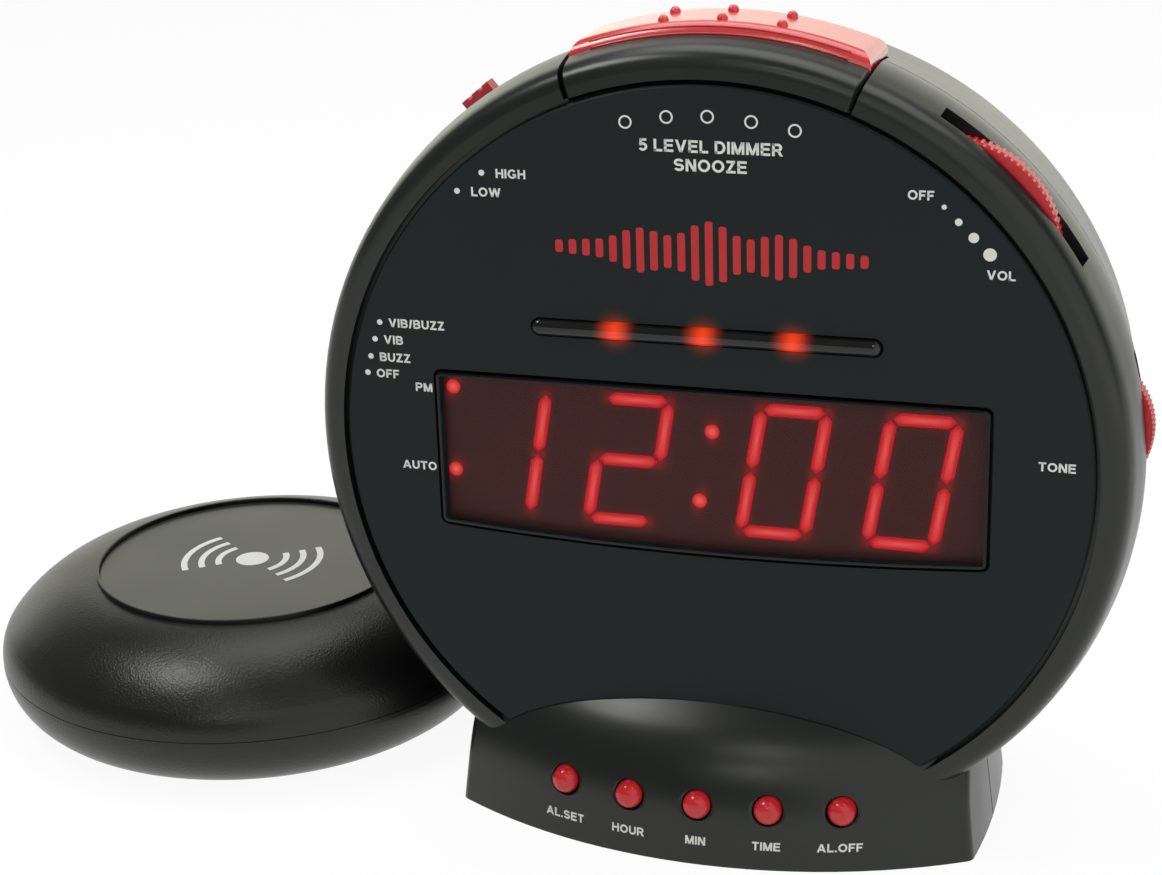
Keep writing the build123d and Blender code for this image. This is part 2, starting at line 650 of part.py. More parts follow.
with BuildPart() as rear_case:
    add(rear_drum(0))
    add(foot_outer)
    add(front_slab, mode=Mode.SUBTRACT)
    add(rear_cavity.part, mode=Mode.SUBTRACT)
    add(parting_step.part, mode=Mode.SUBTRACT)
    add(snooze_gap, mode=Mode.SUBTRACT)
    for angle, travel in ((LEVEL_ANGLE, LEVEL_TRAVEL), (MODE_ANGLE, MODE_TRAVEL)):
        with BuildSketch(on_rim(angle, SLIDER_DEPTH, SLIDER_FOOT)):
            Rectangle(SLIDER_LENGTH + travel + 2 * SLIDER_GAP, SLIDER_WIDTH + 2 * SLIDER_GAP)
        extrude(amount=CASE_RADIUS, mode=Mode.SUBTRACT)
    add(posts(case_boss_points, SCREW_RADIUS + SCREW_GAP, PARTING_DEPTH, seat_depth), mode=Mode.SUBTRACT)
    add(posts(case_boss_points, SCREW_HEAD_RADIUS + SCREW_GAP, seat_depth, CASE_DEPTH), mode=Mode.SUBTRACT)
    board_pilot = BOARD_BACK + SMALL_SCREW_BITE + 1
    add(posts(board_boss_points, SCREW_RADIUS, BOARD_BACK, board_pilot), mode=Mode.SUBTRACT)
    add(
        floor_posts(rear_base_points, SCREW_RADIUS, BASE_THICKNESS, BASE_THICKNESS + SMALL_SCREW_BITE + 1),
        mode=Mode.SUBTRACT,
    )
    add(posts(grille_points, GRILLE_HOLE, BACK_WALL - 1, CASE_DEPTH), mode=Mode.SUBTRACT)
    add(posts([(-JACK_X, JACK_Z)], POWER_JACK_RADIUS, BACK_WALL - 1, CASE_DEPTH), mode=Mode.SUBTRACT)
    add(posts([(JACK_X, JACK_Z)], SHAKER_JACK_RADIUS, BACK_WALL - 1, CASE_DEPTH), mode=Mode.SUBTRACT)
    with BuildSketch(on_floor(0)):
        with Locations((0, (BAY_BACK + FAR / 2) / 2)):
            Rectangle(2 * (door_half_width + DOOR_GAP), FAR / 2 - BAY_BACK)
    extrude(amount=DOOR_THICKNESS + DOOR_GAP, mode=Mode.SUBTRACT)
save(rear_case, "rear_case")


# Face plate with the display window and the slot for the light bar
def window_outline(grow=0.0):
    """The display window, with its bowed lower edge, moved out by an amount."""
    with BuildSketch() as outline:
        with BuildLine():
            Polyline(
                (-WINDOW_HALF_WIDTH, WINDOW_BOTTOM),
                (-WINDOW_HALF_WIDTH, WINDOW_TOP),
                (WINDOW_HALF_WIDTH, WINDOW_TOP),
                (WINDOW_HALF_WIDTH, WINDOW_BOTTOM),
            )
            ThreePointArc(
                (WINDOW_HALF_WIDTH, WINDOW_BOTTOM),
                (0, WINDOW_BOTTOM - WINDOW_BOW),
                (-WINDOW_HALF_WIDTH, WINDOW_BOTTOM),
            )
        make_face()
        fillet(outline.vertices(), WINDOW_CORNER)
        if grow:
            offset(amount=grow)
    return outline.sketch


with BuildPart() as face_plate:
    with BuildSketch(behind_face(FACE_THICKNESS)):
        Circle(FACE_RADIUS)
    extrude(amount=FACE_THICKNESS)
    chamfer(faces().sort_by(Axis.Y)[0].edges(), FACE_EDGE)
    with BuildSketch(behind_face(FACE_THICKNESS)):
        add(window_outline())
    extrude(amount=FACE_THICKNESS, mode=Mode.SUBTRACT)
    with BuildSketch(behind_face(FACE_THICKNESS)):
        with Locations((0, BAR_Z)):
            SlotOverall(BAR_LENGTH + 2 * BASE_GAP, BAR_HEIGHT + 2 * BASE_GAP)
    extrude(amount=FACE_THICKNESS, mode=Mode.SUBTRACT)
    add(foot_solid(BASE_GAP, bottom=-FOOT_TOP), mode=Mode.SUBTRACT)
save(face_plate, "face_plate")

# Smoked lens in the window
with BuildPart() as display_lens:
    with BuildSketch(behind_face(FACE_THICKNESS)):
        add(window_outline(-LENS_GAP))
    extrude(amount=FACE_THICKNESS - LENS_RECESS)
save(display_lens, "display_lens")

# Display module: a dark block with a pocket for each glowing segment
SEGMENT_ENDS = {
    "a": ((-1, 1), (1, 1)),
    "b": ((1, 1), (1, 0)),
    "c": ((1, 0), (1, -1)),
    "d": ((1, -1), (-1, -1)),
    "e": ((-1, -1), (-1, 0)),
    "f": ((-1, 0), (-1, 1)),
    "g": ((-1, 0), (1, 0)),
}
DIGIT_SEGMENTS = {"0": "abcdef", "1": "bc", "2": "abged"}
SHOWN_DIGITS = "1200"


def segment_points(centre, name):
    """The six corners of one slanted segment, in x and height from the face's centre."""
    ends = [(u * DIGIT_WIDTH / 2, v * DIGIT_HEIGHT / 2) for u, v in SEGMENT_ENDS[name]]
    (x0, z0), (x1, z1) = ends
    length = hypot(x1 - x0, z1 - z0)
    along = ((x1 - x0) / length, (z1 - z0) / length)
    half = DIGIT_STROKE / 2
    corners = []
    for run, side in (
        (DIGIT_GAP, 0),
        (DIGIT_GAP + half, half),
        (length - DIGIT_GAP - half, half),
        (length - DIGIT_GAP, 0),
        (length - DIGIT_GAP - half, -half),
        (DIGIT_GAP + half, -half),
    ):
        x = x0 + along[0] * run - along[1] * side
        z = z0 + along[1] * run + along[0] * side
        corners.append((centre + x + z * tan(radians(DIGIT_SLANT)), DIGIT_HEIGHT_OFFSET + z))
    return corners


def segments(lit):
    """All the lit or all the dark segments of the four digits, as a group of thin blocks."""
    with BuildPart() as group:
        with BuildSketch(behind_face(FACE_THICKNESS + SEGMENT_DEPTH)):
            for centre, digit in zip(DIGIT_CENTRES, SHOWN_DIGITS):
                for name in SEGMENT_ENDS:
                    if (name in DIGIT_SEGMENTS[digit]) == lit:
                        Polygon(*segment_points(centre, name), align=None)
        extrude(amount=SEGMENT_DEPTH)
    return group


lit_segments = segments(True)
dark_segments = segments(False)
with BuildPart() as display_dots:
    with BuildSketch(behind_face(FACE_THICKNESS + SEGMENT_DEPTH)):
        with Locations(*COLON_DOTS, *SIGN_DOTS):
            Circle(DOT_RADIUS)
    extrude(amount=SEGMENT_DEPTH)

module_half_width = WINDOW_HALF_WIDTH + MODULE_MARGIN
module_top = WINDOW_TOP + MODULE_MARGIN
module_bottom = WINDOW_BOTTOM - WINDOW_BOW - MODULE_MARGIN / 2
module_posts = []
for post_x in (-MODULE_POST_X, MODULE_POST_X):
    module_posts += [(post_x, module_top - MODULE_POST), (post_x, module_bottom + MODULE_POST)]
with BuildPart() as display_module:
    with BuildSketch(behind_face(MODULE_BACK)):
        with Locations((0, (module_top + module_bottom) / 2)):
            Rectangle(2 * module_half_width, module_top - module_bottom)
    extrude(amount=MODULE_THICKNESS)
    add(posts(module_posts, MODULE_POST / 2, MODULE_BACK, BOARD_DEPTH))
    add(lit_segments.part, mode=Mode.SUBTRACT)
    add(dark_segments.part, mode=Mode.SUBTRACT)
    add(display_dots.part, mode=Mode.SUBTRACT)
save(display_module, "display_module")
save(lit_segments, "lit_segments")
save(dark_segments, "dark_segments")
save(display_dots, "display_dots")

# Light bar: clear lens, three lamps and the strip that carries them
with BuildPart() as light_bar_lens:
    with BuildSketch(behind_face(FACE_THICKNESS)):
        with Locations((0, BAR_Z)):
            SlotOverall(BAR_LENGTH, BAR_HEIGHT)
    extrude(amount=FACE_THICKNESS + BAR_PROUD)
    fillet(faces().sort_by(Axis.Y)[0].edges(), BAR_ROUND)
    with BuildSketch(behind_face(LED_FRONT)):
        with Locations((0, BAR_Z)):
            SlotOverall(BAR_LENGTH + 2 * BAR_FLANGE, BAR_HEIGHT + 2 * BAR_FLANGE)
    extrude(amount=BAR_FLANGE_THICKNESS)
save(light_bar_lens, "light_bar_lens")

with BuildPart() as alert_lamps:
    with BuildSketch(behind_face(LED_FRONT + ALERT_LED_THICKNESS)):
        with Locations(*[(ALERT_LED_PITCH * k, BAR_Z) for k in (-1, 0, 1)]):
            RectangleRounded(ALERT_LED, ALERT_LED, ALERT_LED / 5)
    extrude(amount=ALERT_LED_THICKNESS)
save(alert_lamps, "alert_lamps")

with BuildPart() as alert_lamp_strip:
    with BuildSketch(behind_face(STRIP_BACK)):
        with Locations((0, BAR_Z)):
            Rectangle(BAR_LENGTH + 2 * BAR_FLANGE, ALERT_STRIP_HEIGHT)
    extrude(amount=ALERT_STRIP_THICKNESS)
save(alert_lamp_strip, "alert_lamp_strip")

# Snooze bar: a dark stretch of rim and the red bar behind it, pressed down together
def on_rim_skin(point):
    """Whether a point of the snooze bar's front stretch lies on the skin of the rim."""
    depth = point.Y - FACE_Y
    radius = hypot(point.X, point.Z - FACE_HEIGHT)
    return depth < SNOOZE_FRONT - 0.1 and (depth < RIM_LAND / 4 or radius > CASE_RADIUS - 2)


with BuildPart() as snooze_front:
    with BuildSketch(rim_section(SNOOZE_ANGLE - SNOOZE_HALF_ANGLE)):
        with BuildLine():
            crown = rim_front_line()
            Polyline(
                crown,
                (CASE_RADIUS - 0.4, SNOOZE_FRONT),
                (SNOOZE_INNER, SNOOZE_FRONT),
                (SNOOZE_INNER, SNOOZE_NOSE),
                (RIM_RADIUS, SNOOZE_NOSE),
                (RIM_RADIUS, 0),
            )
        make_face()
    revolve(axis=CASE_AXIS, revolution_arc=2 * SNOOZE_HALF_ANGLE)
    ends = faces().filter_by(GeomType.PLANE).filter_by(lambda f: abs(f.normal_at().Y) < 0.5)
    skin_edges = ends.edges().filter_by(lambda e: on_rim_skin(e.center()))
    chamfer(skin_edges, SNOOZE_BEVEL)
save(snooze_front, "snooze_front")

post_bottom = BOARD_RADIUS + 0.1
with BuildPart() as snooze_bar:
    with BuildSketch(rim_section(SNOOZE_ANGLE - SNOOZE_HALF_ANGLE)):
        with BuildLine():
            Polyline(
                (SNOOZE_INNER, SNOOZE_FRONT),
                (SNOOZE_TOP, SNOOZE_FRONT),
                (SNOOZE_TOP, SNOOZE_BACK),
                (SNOOZE_INNER, SNOOZE_BACK),
                close=True,
            )
        make_face()
    revolve(axis=CASE_AXIS, revolution_arc=2 * SNOOZE_HALF_ANGLE)
    crest = faces().filter_by(GeomType.CYLINDER).sort_by(SortBy.AREA)[-1]
    fillet(crest.edges(), SNOOZE_ROUND)
    nub_planes = []
    for nub_angle in (SNOOZE_ANGLE - NUB_ANGLE, SNOOZE_ANGLE, SNOOZE_ANGLE + NUB_ANGLE):
        nub_planes += [on_rim(nub_angle, row, SNOOZE_TOP) for row in NUB_ROWS]
    with Locations(*nub_planes):
        Sphere(NUB_RADIUS)
    with BuildSketch(Plane.XY.offset(FACE_HEIGHT + post_bottom)):
        with Locations((0, FACE_Y + BOARD_DEPTH - TACT_HEIGHT)):
            Rectangle(2 * SNOOZE_POST, SNOOZE_POST)
    extrude(amount=SNOOZE_INNER - post_bottom + WALL / 2)
save(snooze_bar, "snooze_bar")

plunger_top = post_bottom - SNOOZE_TRAVEL - BASE_GAP
with BuildPart() as snooze_switch:
    with BuildSketch(behind_face(BOARD_DEPTH)):
        with Locations((0, plunger_top - TACT_PLUNGER_HEIGHT - TACT_SIZE / 2)):
            Rectangle(TACT_SIZE, TACT_SIZE)
    extrude(amount=2 * TACT_HEIGHT)
    with BuildSketch(Plane.XY.offset(FACE_HEIGHT + plunger_top - TACT_PLUNGER_HEIGHT)):
        with Locations((0, FACE_Y + BOARD_DEPTH - TACT_HEIGHT)):
            Circle(TACT_PLUNGER / 2)
    extrude(amount=TACT_PLUNGER_HEIGHT)
save(snooze_switch, "snooze_switch")


# Thumb wheels and their pots
def thumb_wheel(angle, centre, radius, front, shaft_end):
    """A knurled wheel at an angle round the rim, with a stub shaft running back into its pot."""
    place = around_case(angle, centre)
    with BuildPart() as wheel:
        with BuildSketch(behind_face(front + WHEEL_THICKNESS)):
            with Locations(place):
                Circle(radius)
        extrude(amount=WHEEL_THICKNESS)
        chamfer(edges().filter_by(GeomType.CIRCLE), KNURL_RADIUS)
        with BuildSketch(behind_face(front + WHEEL_THICKNESS)):
            with Locations(place):
                with PolarLocations(radius, WHEEL_KNURLS):
                    Circle(KNURL_RADIUS)
        extrude(amount=WHEEL_THICKNESS, mode=Mode.SUBTRACT)
        with BuildSketch(behind_face(shaft_end)):
            with Locations(place):
                Circle(WHEEL_SHAFT)
        extrude(amount=shaft_end - front - WHEEL_THICKNESS)
    return wheel


def dial_pot(angle, centre, radius, front, shaft_end):
    """The pot on the main board that a wheel's shaft turns in."""
    place = around_case(angle, centre)
    with BuildPart() as pot:
        with BuildSketch(behind_face(BOARD_DEPTH)):
            with Locations(place):
                Circle(radius)
        extrude(amount=BOARD_DEPTH - front)
        with BuildSketch(behind_face(shaft_end + RUNNING_GAP)):
            with Locations(place):
                Circle(WHEEL_SHAFT + RUNNING_GAP)
        extrude(amount=shaft_end + RUNNING_GAP - front, mode=Mode.SUBTRACT)
    return pot


volume_pot_front = VOLUME_FRONT + WHEEL_THICKNESS + SLIDER_GAP
volume_shaft_end = (volume_pot_front + 2 * BOARD_DEPTH) / 3
volume_wheel = thumb_wheel(VOLUME_ANGLE, volume_centre, VOLUME_RADIUS, VOLUME_FRONT, volume_shaft_end)
save(volume_wheel, "volume_wheel")
volume_pot = dial_pot(VOLUME_ANGLE, volume_centre, VOLUME_POT_RADIUS, volume_pot_front, volume_shaft_end)
save(volume_pot, "volume_pot")
tone_pot_front = TONE_FRONT + WHEEL_THICKNESS + SLIDER_GAP
tone_shaft_end = (tone_pot_front + 2 * BOARD_DEPTH) / 3
tone_wheel = thumb_wheel(TONE_ANGLE, tone_centre, TONE_RADIUS, TONE_FRONT, tone_shaft_end)
save(tone_wheel, "tone_wheel")
tone_pot = dial_pot(TONE_ANGLE, tone_centre, TONE_POT_RADIUS, tone_pot_front, tone_shaft_end)
save(tone_pot, "tone_pot")


# Slide switches: a body on the main board and a red tab through the rim
def slide_tab(angle, travel):
    """The tab at the end of its slot nearest the crown, with two grip grooves."""
    with BuildPart() as tab:
        with BuildSketch(on_rim(angle, SLIDER_DEPTH, SLIDER_FOOT)):
            with Locations((-travel / 2, 0)):
                Rectangle(SLIDER_LENGTH, SLIDER_WIDTH)
        extrude(amount=CASE_RADIUS - 1.0 + SLIDER_PROUD - SLIDER_FOOT)
        with BuildSketch(on_rim(angle, SLIDER_DEPTH, CASE_RADIUS - 1.0 + SLIDER_PROUD)):
            with Locations((-travel / 2 - SLIDER_LENGTH / 5, 0), (-travel / 2 + SLIDER_LENGTH / 5, 0)):
                Rectangle(2 * SLIDER_GRIP, SLIDER_WIDTH)
        extrude(amount=-SLIDER_GRIP, mode=Mode.SUBTRACT)
    return tab


def slide_switch(angle, travel):
    """The switch body, on the back of the main board at its edge."""
    with BuildPart() as body:
        with BuildSketch(on_rim(angle, SLIDER_DEPTH, SLIDER_FOOT - BASE_GAP / 2 - SWITCH_RISE)):
            Rectangle(SLIDER_LENGTH + travel + 2 * SWITCH_MARGIN, SWITCH_DEPTH)
        extrude(amount=SWITCH_RISE)
    return body


for tab_name, switch_name, angle, travel in (
    ("level_slider", "level_switch", LEVEL_ANGLE, LEVEL_TRAVEL),
    ("mode_slider", "mode_switch", MODE_ANGLE, MODE_TRAVEL),
):
    save(slide_tab(angle, travel), tab_name)
    save(slide_switch(angle, travel), switch_name)

# Main board with its larger components, on bosses from the back
with BuildPart() as main_board:
    with BuildSketch(behind_face(BOARD_BACK)):
        Circle(BOARD_RADIUS)
        with Locations((0, BOARD_CUT - BOARD_RADIUS)):
            Rectangle(2 * BOARD_RADIUS, 2 * BOARD_RADIUS, mode=Mode.SUBTRACT)
        with Locations(*case_boss_points):
            Circle(BOSS_RADIUS + 2 * BASE_GAP, mode=Mode.SUBTRACT)
        with Locations(*board_boss_points):
            Circle(SCREW_RADIUS + SCREW_GAP, mode=Mode.SUBTRACT)
    extrude(amount=BOARD_THICKNESS)
save(main_board, "main_board")

component_z = BOARD_CUT + COMPONENT_MARGIN + CHIP_SIZE[1] / 2
with BuildPart() as board_components:
    with BuildSketch(behind_face(BOARD_BACK)):
        with Locations((-CHIP_SIZE[0], component_z)):
            Rectangle(CHIP_SIZE[0], CHIP_SIZE[1])
    extrude(amount=-CHIP_SIZE[2])
    with BuildSketch(behind_face(BOARD_BACK)):
        with Locations((2 * REGULATOR_SIZE[0], component_z)):
            Rectangle(REGULATOR_SIZE[0], REGULATOR_SIZE[1])
    extrude(amount=-REGULATOR_SIZE[2])
    with BuildSketch(behind_face(BOARD_BACK)):
        with Locations((0, component_z), (3 * CAPACITOR_RADIUS, component_z)):
            Circle(CAPACITOR_RADIUS)
    extrude(amount=-CAPACITOR_HEIGHT)
save(board_components, "board_components")


# Screws
def screws(plane_of, points, seat, bite, head):
    """Round-headed screws whose heads stand on a plane, with the thread running into it."""
    with BuildPart() as group:
        with BuildSketch(plane_of(seat)):
            with Locations(*points):
                Circle(SCREW_HEAD_RADIUS)
        extrude(amount=head)
        with BuildSketch(plane_of(seat)):
            with Locations(*points):
                Circle(SCREW_RADIUS)
        extrude(amount=-bite)
    return group


def facing_back(depth):
    """A plane parallel to the face that faces the back, drawn in x and height."""
    return Plane(origin=(0, FACE_Y + depth, FACE_HEIGHT), x_dir=(-1, 0, 0), z_dir=(0, 1, 0))


def facing_down(height):
    """A level plane that faces the floor, drawn in x and depth."""
    return Plane(origin=(0, FACE_Y, height), x_dir=(-1, 0, 0), z_dir=(0, 0, -1))


def mirrored(points):
    """Points for a plane that is seen from its other side."""
    return [(-x, y) for x, y in points]


case_screw_bite = CASE_SCREW_SEAT + CASE_SCREW_BITE
case_screws = screws(facing_back, mirrored(case_boss_points), seat_depth, case_screw_bite, SCREW_HEAD)
save(case_screws, "case_screws")
board_screw_bite = BOARD_THICKNESS + SMALL_SCREW_BITE
save(screws(behind_face, board_boss_points, BOARD_DEPTH, board_screw_bite, SCREW_HEAD), "board_screws")

# Speaker on the back panel
speaker_axis = Axis((0, FACE_Y, FACE_HEIGHT + SPEAKER_Z), (0, 1, 0))
speaker_middle = (0, FACE_Y + BACK_WALL, FACE_HEIGHT + SPEAKER_Z)
speaker_section = Plane(origin=speaker_middle, x_dir=(1, 0, 0), z_dir=(0, 0, -1))
with BuildPart() as speaker_frame:
    with BuildSketch(speaker_section):
        with BuildLine():
            Polyline(
                (SPEAKER_RADIUS, 0),
                (SPEAKER_RADIUS, SPEAKER_RIM),
                (SPEAKER_RADIUS - SPEAKER_RIM, SPEAKER_RIM),
                (SPEAKER_NECK, SPEAKER_DEPTH),
                (0, SPEAKER_DEPTH),
                (0, SPEAKER_DEPTH - SPEAKER_SKIN),
                (SPEAKER_NECK - SPEAKER_SKIN, SPEAKER_DEPTH - SPEAKER_SKIN),
                (SPEAKER_RADIUS - 2 * SPEAKER_RIM, SPEAKER_RIM / 2),
                (SPEAKER_RADIUS - 2 * SPEAKER_RIM, 0),
                close=True,
            )
        make_face()
    revolve(axis=speaker_axis)
save(speaker_frame, "speaker_frame")

with BuildPart() as speaker_cone:
    with BuildSketch(speaker_section):
        with BuildLine():
            Polyline(
                (SPEAKER_RADIUS - 2 * SPEAKER_RIM, SPEAKER_RIM / 2),
                (SPEAKER_NECK / 2, SPEAKER_DEPTH - 3 * SPEAKER_SKIN),
                (0, SPEAKER_DEPTH - 3 * SPEAKER_SKIN),
                (0, SPEAKER_DEPTH - 4 * SPEAKER_SKIN),
                (SPEAKER_NECK / 2, SPEAKER_DEPTH - 4 * SPEAKER_SKIN),
                (SPEAKER_RADIUS - 2 * SPEAKER_RIM, SPEAKER_RIM / 4),
                close=True,
            )
        make_face()
    revolve(axis=speaker_axis)
save(speaker_cone, "speaker_cone")

magnet_back = BACK_WALL - SPEAKER_DEPTH
with BuildPart() as speaker_magnet:
    with BuildSketch(behind_face(magnet_back)):
        with Locations((0, SPEAKER_Z)):
            Circle(MAGNET_RADIUS)
    extrude(amount=MAGNET_THICKNESS)
    chamfer(edges().filter_by(GeomType.CIRCLE), SPEAKER_SKIN / 2)
save(speaker_magnet, "speaker_magnet")


# Sockets in the back panel: power in, and the shaker's lead
def socket(x, barrel, bore, pin):
    """A round socket through the back panel, with a collar outside and a block inside."""
    with BuildPart() as jack:
        with BuildSketch(behind_face(CASE_DEPTH + JACK_FLANGE)):
            with Locations((x, JACK_Z)):
                Circle(barrel + JACK_FLANGE)
        extrude(amount=JACK_FLANGE)
        with BuildSketch(behind_face(CASE_DEPTH)):
            with Locations((x, JACK_Z)):
                Circle(barrel - BASE_GAP)
        extrude(amount=WALL)
        with BuildSketch(behind_face(BACK_WALL)):
            with Locations((x, JACK_Z)):
                Rectangle(2 * barrel + JACK_FLANGE, 2 * barrel + JACK_FLANGE)
        extrude(amount=JACK_BODY)
        with BuildSketch(behind_face(CASE_DEPTH + JACK_FLANGE)):
            with Locations((x, JACK_Z)):
                Circle(bore)
                if pin:
                    Circle(pin, mode=Mode.SUBTRACT)
        extrude(amount=JACK_BODY, mode=Mode.SUBTRACT)
    return jack


save(socket(-JACK_X, POWER_JACK_RADIUS, POWER_JACK_BORE, POWER_JACK_PIN), "power_socket")
save(socket(JACK_X, SHAKER_JACK_RADIUS, SHAKER_JACK_BORE, 0), "shaker_socket")

# Push buttons, their board and their switches
for button_name, button_x in zip(BUTTON_NAMES, BUTTON_XS):
    skin = foot_front_depth(button_x, BUTTON_HEIGHT)
    flange_reach = BUTTON_RADIUS + BUTTON_FLANGE
    edge_skin = foot_front_depth(abs(button_x) + flange_reach, BUTTON_HEIGHT + flange_reach)
    flange_front = edge_skin + 1.1 * WALL + BUTTON_GAP
    stem_back = KEY_SWITCH_FRONT - BUTTON_TRAVEL - BASE_GAP
    centre = (button_x, BUTTON_HEIGHT - FACE_HEIGHT)
    with BuildPart() as button:
        with BuildSketch(behind_face(flange_front)):
            with Locations(centre):
                Circle(BUTTON_RADIUS)
        extrude(amount=flange_front - skin + BUTTON_PROUD)
        fillet(faces().sort_by(Axis.Y)[0].edges(), BUTTON_DOME)
        with BuildSketch(behind_face(flange_front + BUTTON_FLANGE_THICKNESS)):
            with Locations(centre):
                Circle(BUTTON_RADIUS + BUTTON_FLANGE)
        extrude(amount=BUTTON_FLANGE_THICKNESS)
        with BuildSketch(behind_face(stem_back)):
            with Locations(centre):
                Circle(BUTTON_STEM)
        extrude(amount=stem_back - flange_front)
    save(button, button_name)

with BuildPart() as key_board:
    with BuildSketch(behind_face(KEY_BOARD_DEPTH + BOARD_THICKNESS)):
        with Locations((0, (KEY_BOARD_BOTTOM + KEY_BOARD_TOP) / 2 - FACE_HEIGHT)):
            Rectangle(2 * KEY_BOARD_HALF_WIDTH, KEY_BOARD_TOP - KEY_BOARD_BOTTOM)
        with Locations(*key_post_points):
            Circle(SCREW_RADIUS + SCREW_GAP, mode=Mode.SUBTRACT)
    extrude(amount=BOARD_THICKNESS)
save(key_board, "key_board")

button_points = [(x, BUTTON_HEIGHT - FACE_HEIGHT) for x in BUTTON_XS]
with BuildPart() as key_switches:
    with BuildSketch(behind_face(KEY_BOARD_DEPTH)):
        with Locations(*button_points):
            Rectangle(TACT_SIZE, TACT_SIZE)
    extrude(amount=TACT_HEIGHT)
    with BuildSketch(behind_face(KEY_BOARD_DEPTH - TACT_HEIGHT)):
        with Locations(*button_points):
            Circle(TACT_PLUNGER / 2)
    extrude(amount=TACT_PLUNGER_HEIGHT)
save(key_switches, "key_switches")

key_screw_seat = KEY_BOARD_DEPTH + BOARD_THICKNESS
key_screws = screws(
    facing_back, mirrored(key_post_points), key_screw_seat, BOARD_THICKNESS + SMALL_SCREW_BITE, SCREW_HEAD
)
save(key_screws, "key_board_screws")

# Base plate, grip pads and base screws
pad_x = foot_half_width(FOOT_BACK) - PAD_INSET
pad_points = [(side * pad_x, pad_depth) for pad_depth in PAD_DEPTHS for side in (-1, 1)]
head_pocket = SCREW_HEAD + BASE_GAP
with BuildPart() as base_plate:
    add(foot_solid(-WALL - BASE_GAP, bottom=-WALL))
    with BuildSketch(on_floor(0)):
        Rectangle(FAR, FAR)
    extrude(amount=BASE_THICKNESS, mode=Mode.INTERSECT)
    with BuildSketch(on_floor(0)):
        with Locations((0, (door_front - DOOR_GAP + FAR / 2) / 2)):
            Rectangle(2 * (door_half_width + DOOR_GAP), FAR / 2 - door_front + DOOR_GAP)
    extrude(amount=BASE_THICKNESS, mode=Mode.SUBTRACT)
    add(floor_posts(pad_points, PAD_RADIUS, 0, PAD_THICKNESS), mode=Mode.SUBTRACT)
    add(floor_posts(base_screw_points, SCREW_RADIUS + SCREW_GAP, 0, BASE_THICKNESS), mode=Mode.SUBTRACT)
    add(floor_posts(base_screw_points, SCREW_HEAD_RADIUS + SCREW_GAP, 0, head_pocket), mode=Mode.SUBTRACT)
save(base_plate, "base_plate")

with BuildPart() as grip_pads:
    add(floor_posts(pad_points, PAD_RADIUS, 0, PAD_THICKNESS))
save(grip_pads, "grip_pads")

base_screw_bite = BASE_THICKNESS - head_pocket + SMALL_SCREW_BITE
base_screws = screws(facing_down, mirrored(base_screw_points), head_pocket, base_screw_bite, SCREW_HEAD)
save(base_screws, "base_screws")

# Battery bay over the base plate, its snap contacts and the sliding door
bay_middle = (BAY_FRONT + BAY_BACK) / 2
with BuildPart() as battery_bay:
    with BuildSketch(on_floor(BASE_THICKNESS)):
        with Locations((0, bay_middle)):
            Rectangle(BAY_LENGTH + 2 * BAY_WALL, BAY_WIDTH + 2 * BAY_WALL)
    extrude(amount=BAY_HEIGHT + BAY_WALL)
    with BuildSketch(on_floor(BASE_THICKNESS)):
        with Locations((0, bay_middle - BAY_FLANGE / 2)):
            Rectangle(BAY_LENGTH + 2 * BAY_WALL + 2 * BAY_FLANGE, BAY_WIDTH + 2 * BAY_WALL + BAY_FLANGE)
    extrude(amount=BAY_FLANGE_THICKNESS)
    with BuildSketch(on_floor(BASE_THICKNESS)):
        with Locations((0, bay_middle)):
            Rectangle(BAY_LENGTH, BAY_WIDTH)
    extrude(amount=BAY_HEIGHT, mode=Mode.SUBTRACT)
save(battery_bay, "battery_bay")

snap_plane = Plane(
    origin=(-BAY_LENGTH / 2, FACE_Y + bay_middle, BASE_THICKNESS + BAY_HEIGHT / 2),
    x_dir=(0, 1, 0),
    z_dir=(1, 0, 0),
)
with BuildPart() as battery_snap:
    with BuildSketch(snap_plane):
        Rectangle(BAY_WIDTH - 2 * SNAP_PLATE, BAY_HEIGHT - 2 * SNAP_PLATE)
    extrude(amount=SNAP_PLATE)
    with BuildSketch(snap_plane.offset(SNAP_PLATE)):
        with Locations((-SNAP_PITCH / 2, 0)):
            Circle(SNAP_STUD)
        with Locations((SNAP_PITCH / 2, 0)):
            Circle(SNAP_SOCKET)
    extrude(amount=SNAP_HEIGHT)
save(battery_snap, "battery_snap")

with BuildPart() as battery_door:
    with BuildSketch(on_floor(0)):
        with Locations((0, (door_front + FOOT_BACK - DOOR_GAP) / 2)):
            Rectangle(2 * door_half_width, FOOT_BACK - DOOR_GAP - door_front)
    extrude(amount=DOOR_THICKNESS)
    with BuildSketch(on_floor(0)):
        with GridLocations(0, DOOR_LIP, 1, 4):
            with Locations((0, FOOT_BACK - 4 * DOOR_LIP)):
                Rectangle(door_half_width, DOOR_LIP / 2)
    extrude(amount=DOOR_THICKNESS / 4, mode=Mode.SUBTRACT)
save(battery_door, "battery_door")

# Shaker shells: bodies of revolution about an upright axis
shaker_y = FACE_Y + SHAKER_DEPTH
shaker_axis = Axis((SHAKER_X, shaker_y, 0), (0, 0, 1))
shaker_section = Plane(origin=(SHAKER_X, shaker_y, 0), x_dir=(1, 0, 0), z_dir=(0, -1, 0))
shaker_ceiling = SHAKER_HEIGHT - LABEL_RECESS - SHAKER_WALL


def shaker_plane(height):
    """A level plane over the shaker's axis."""
    return Plane(origin=(SHAKER_X, shaker_y, height), x_dir=(1, 0, 0), z_dir=(0, 0, 1))


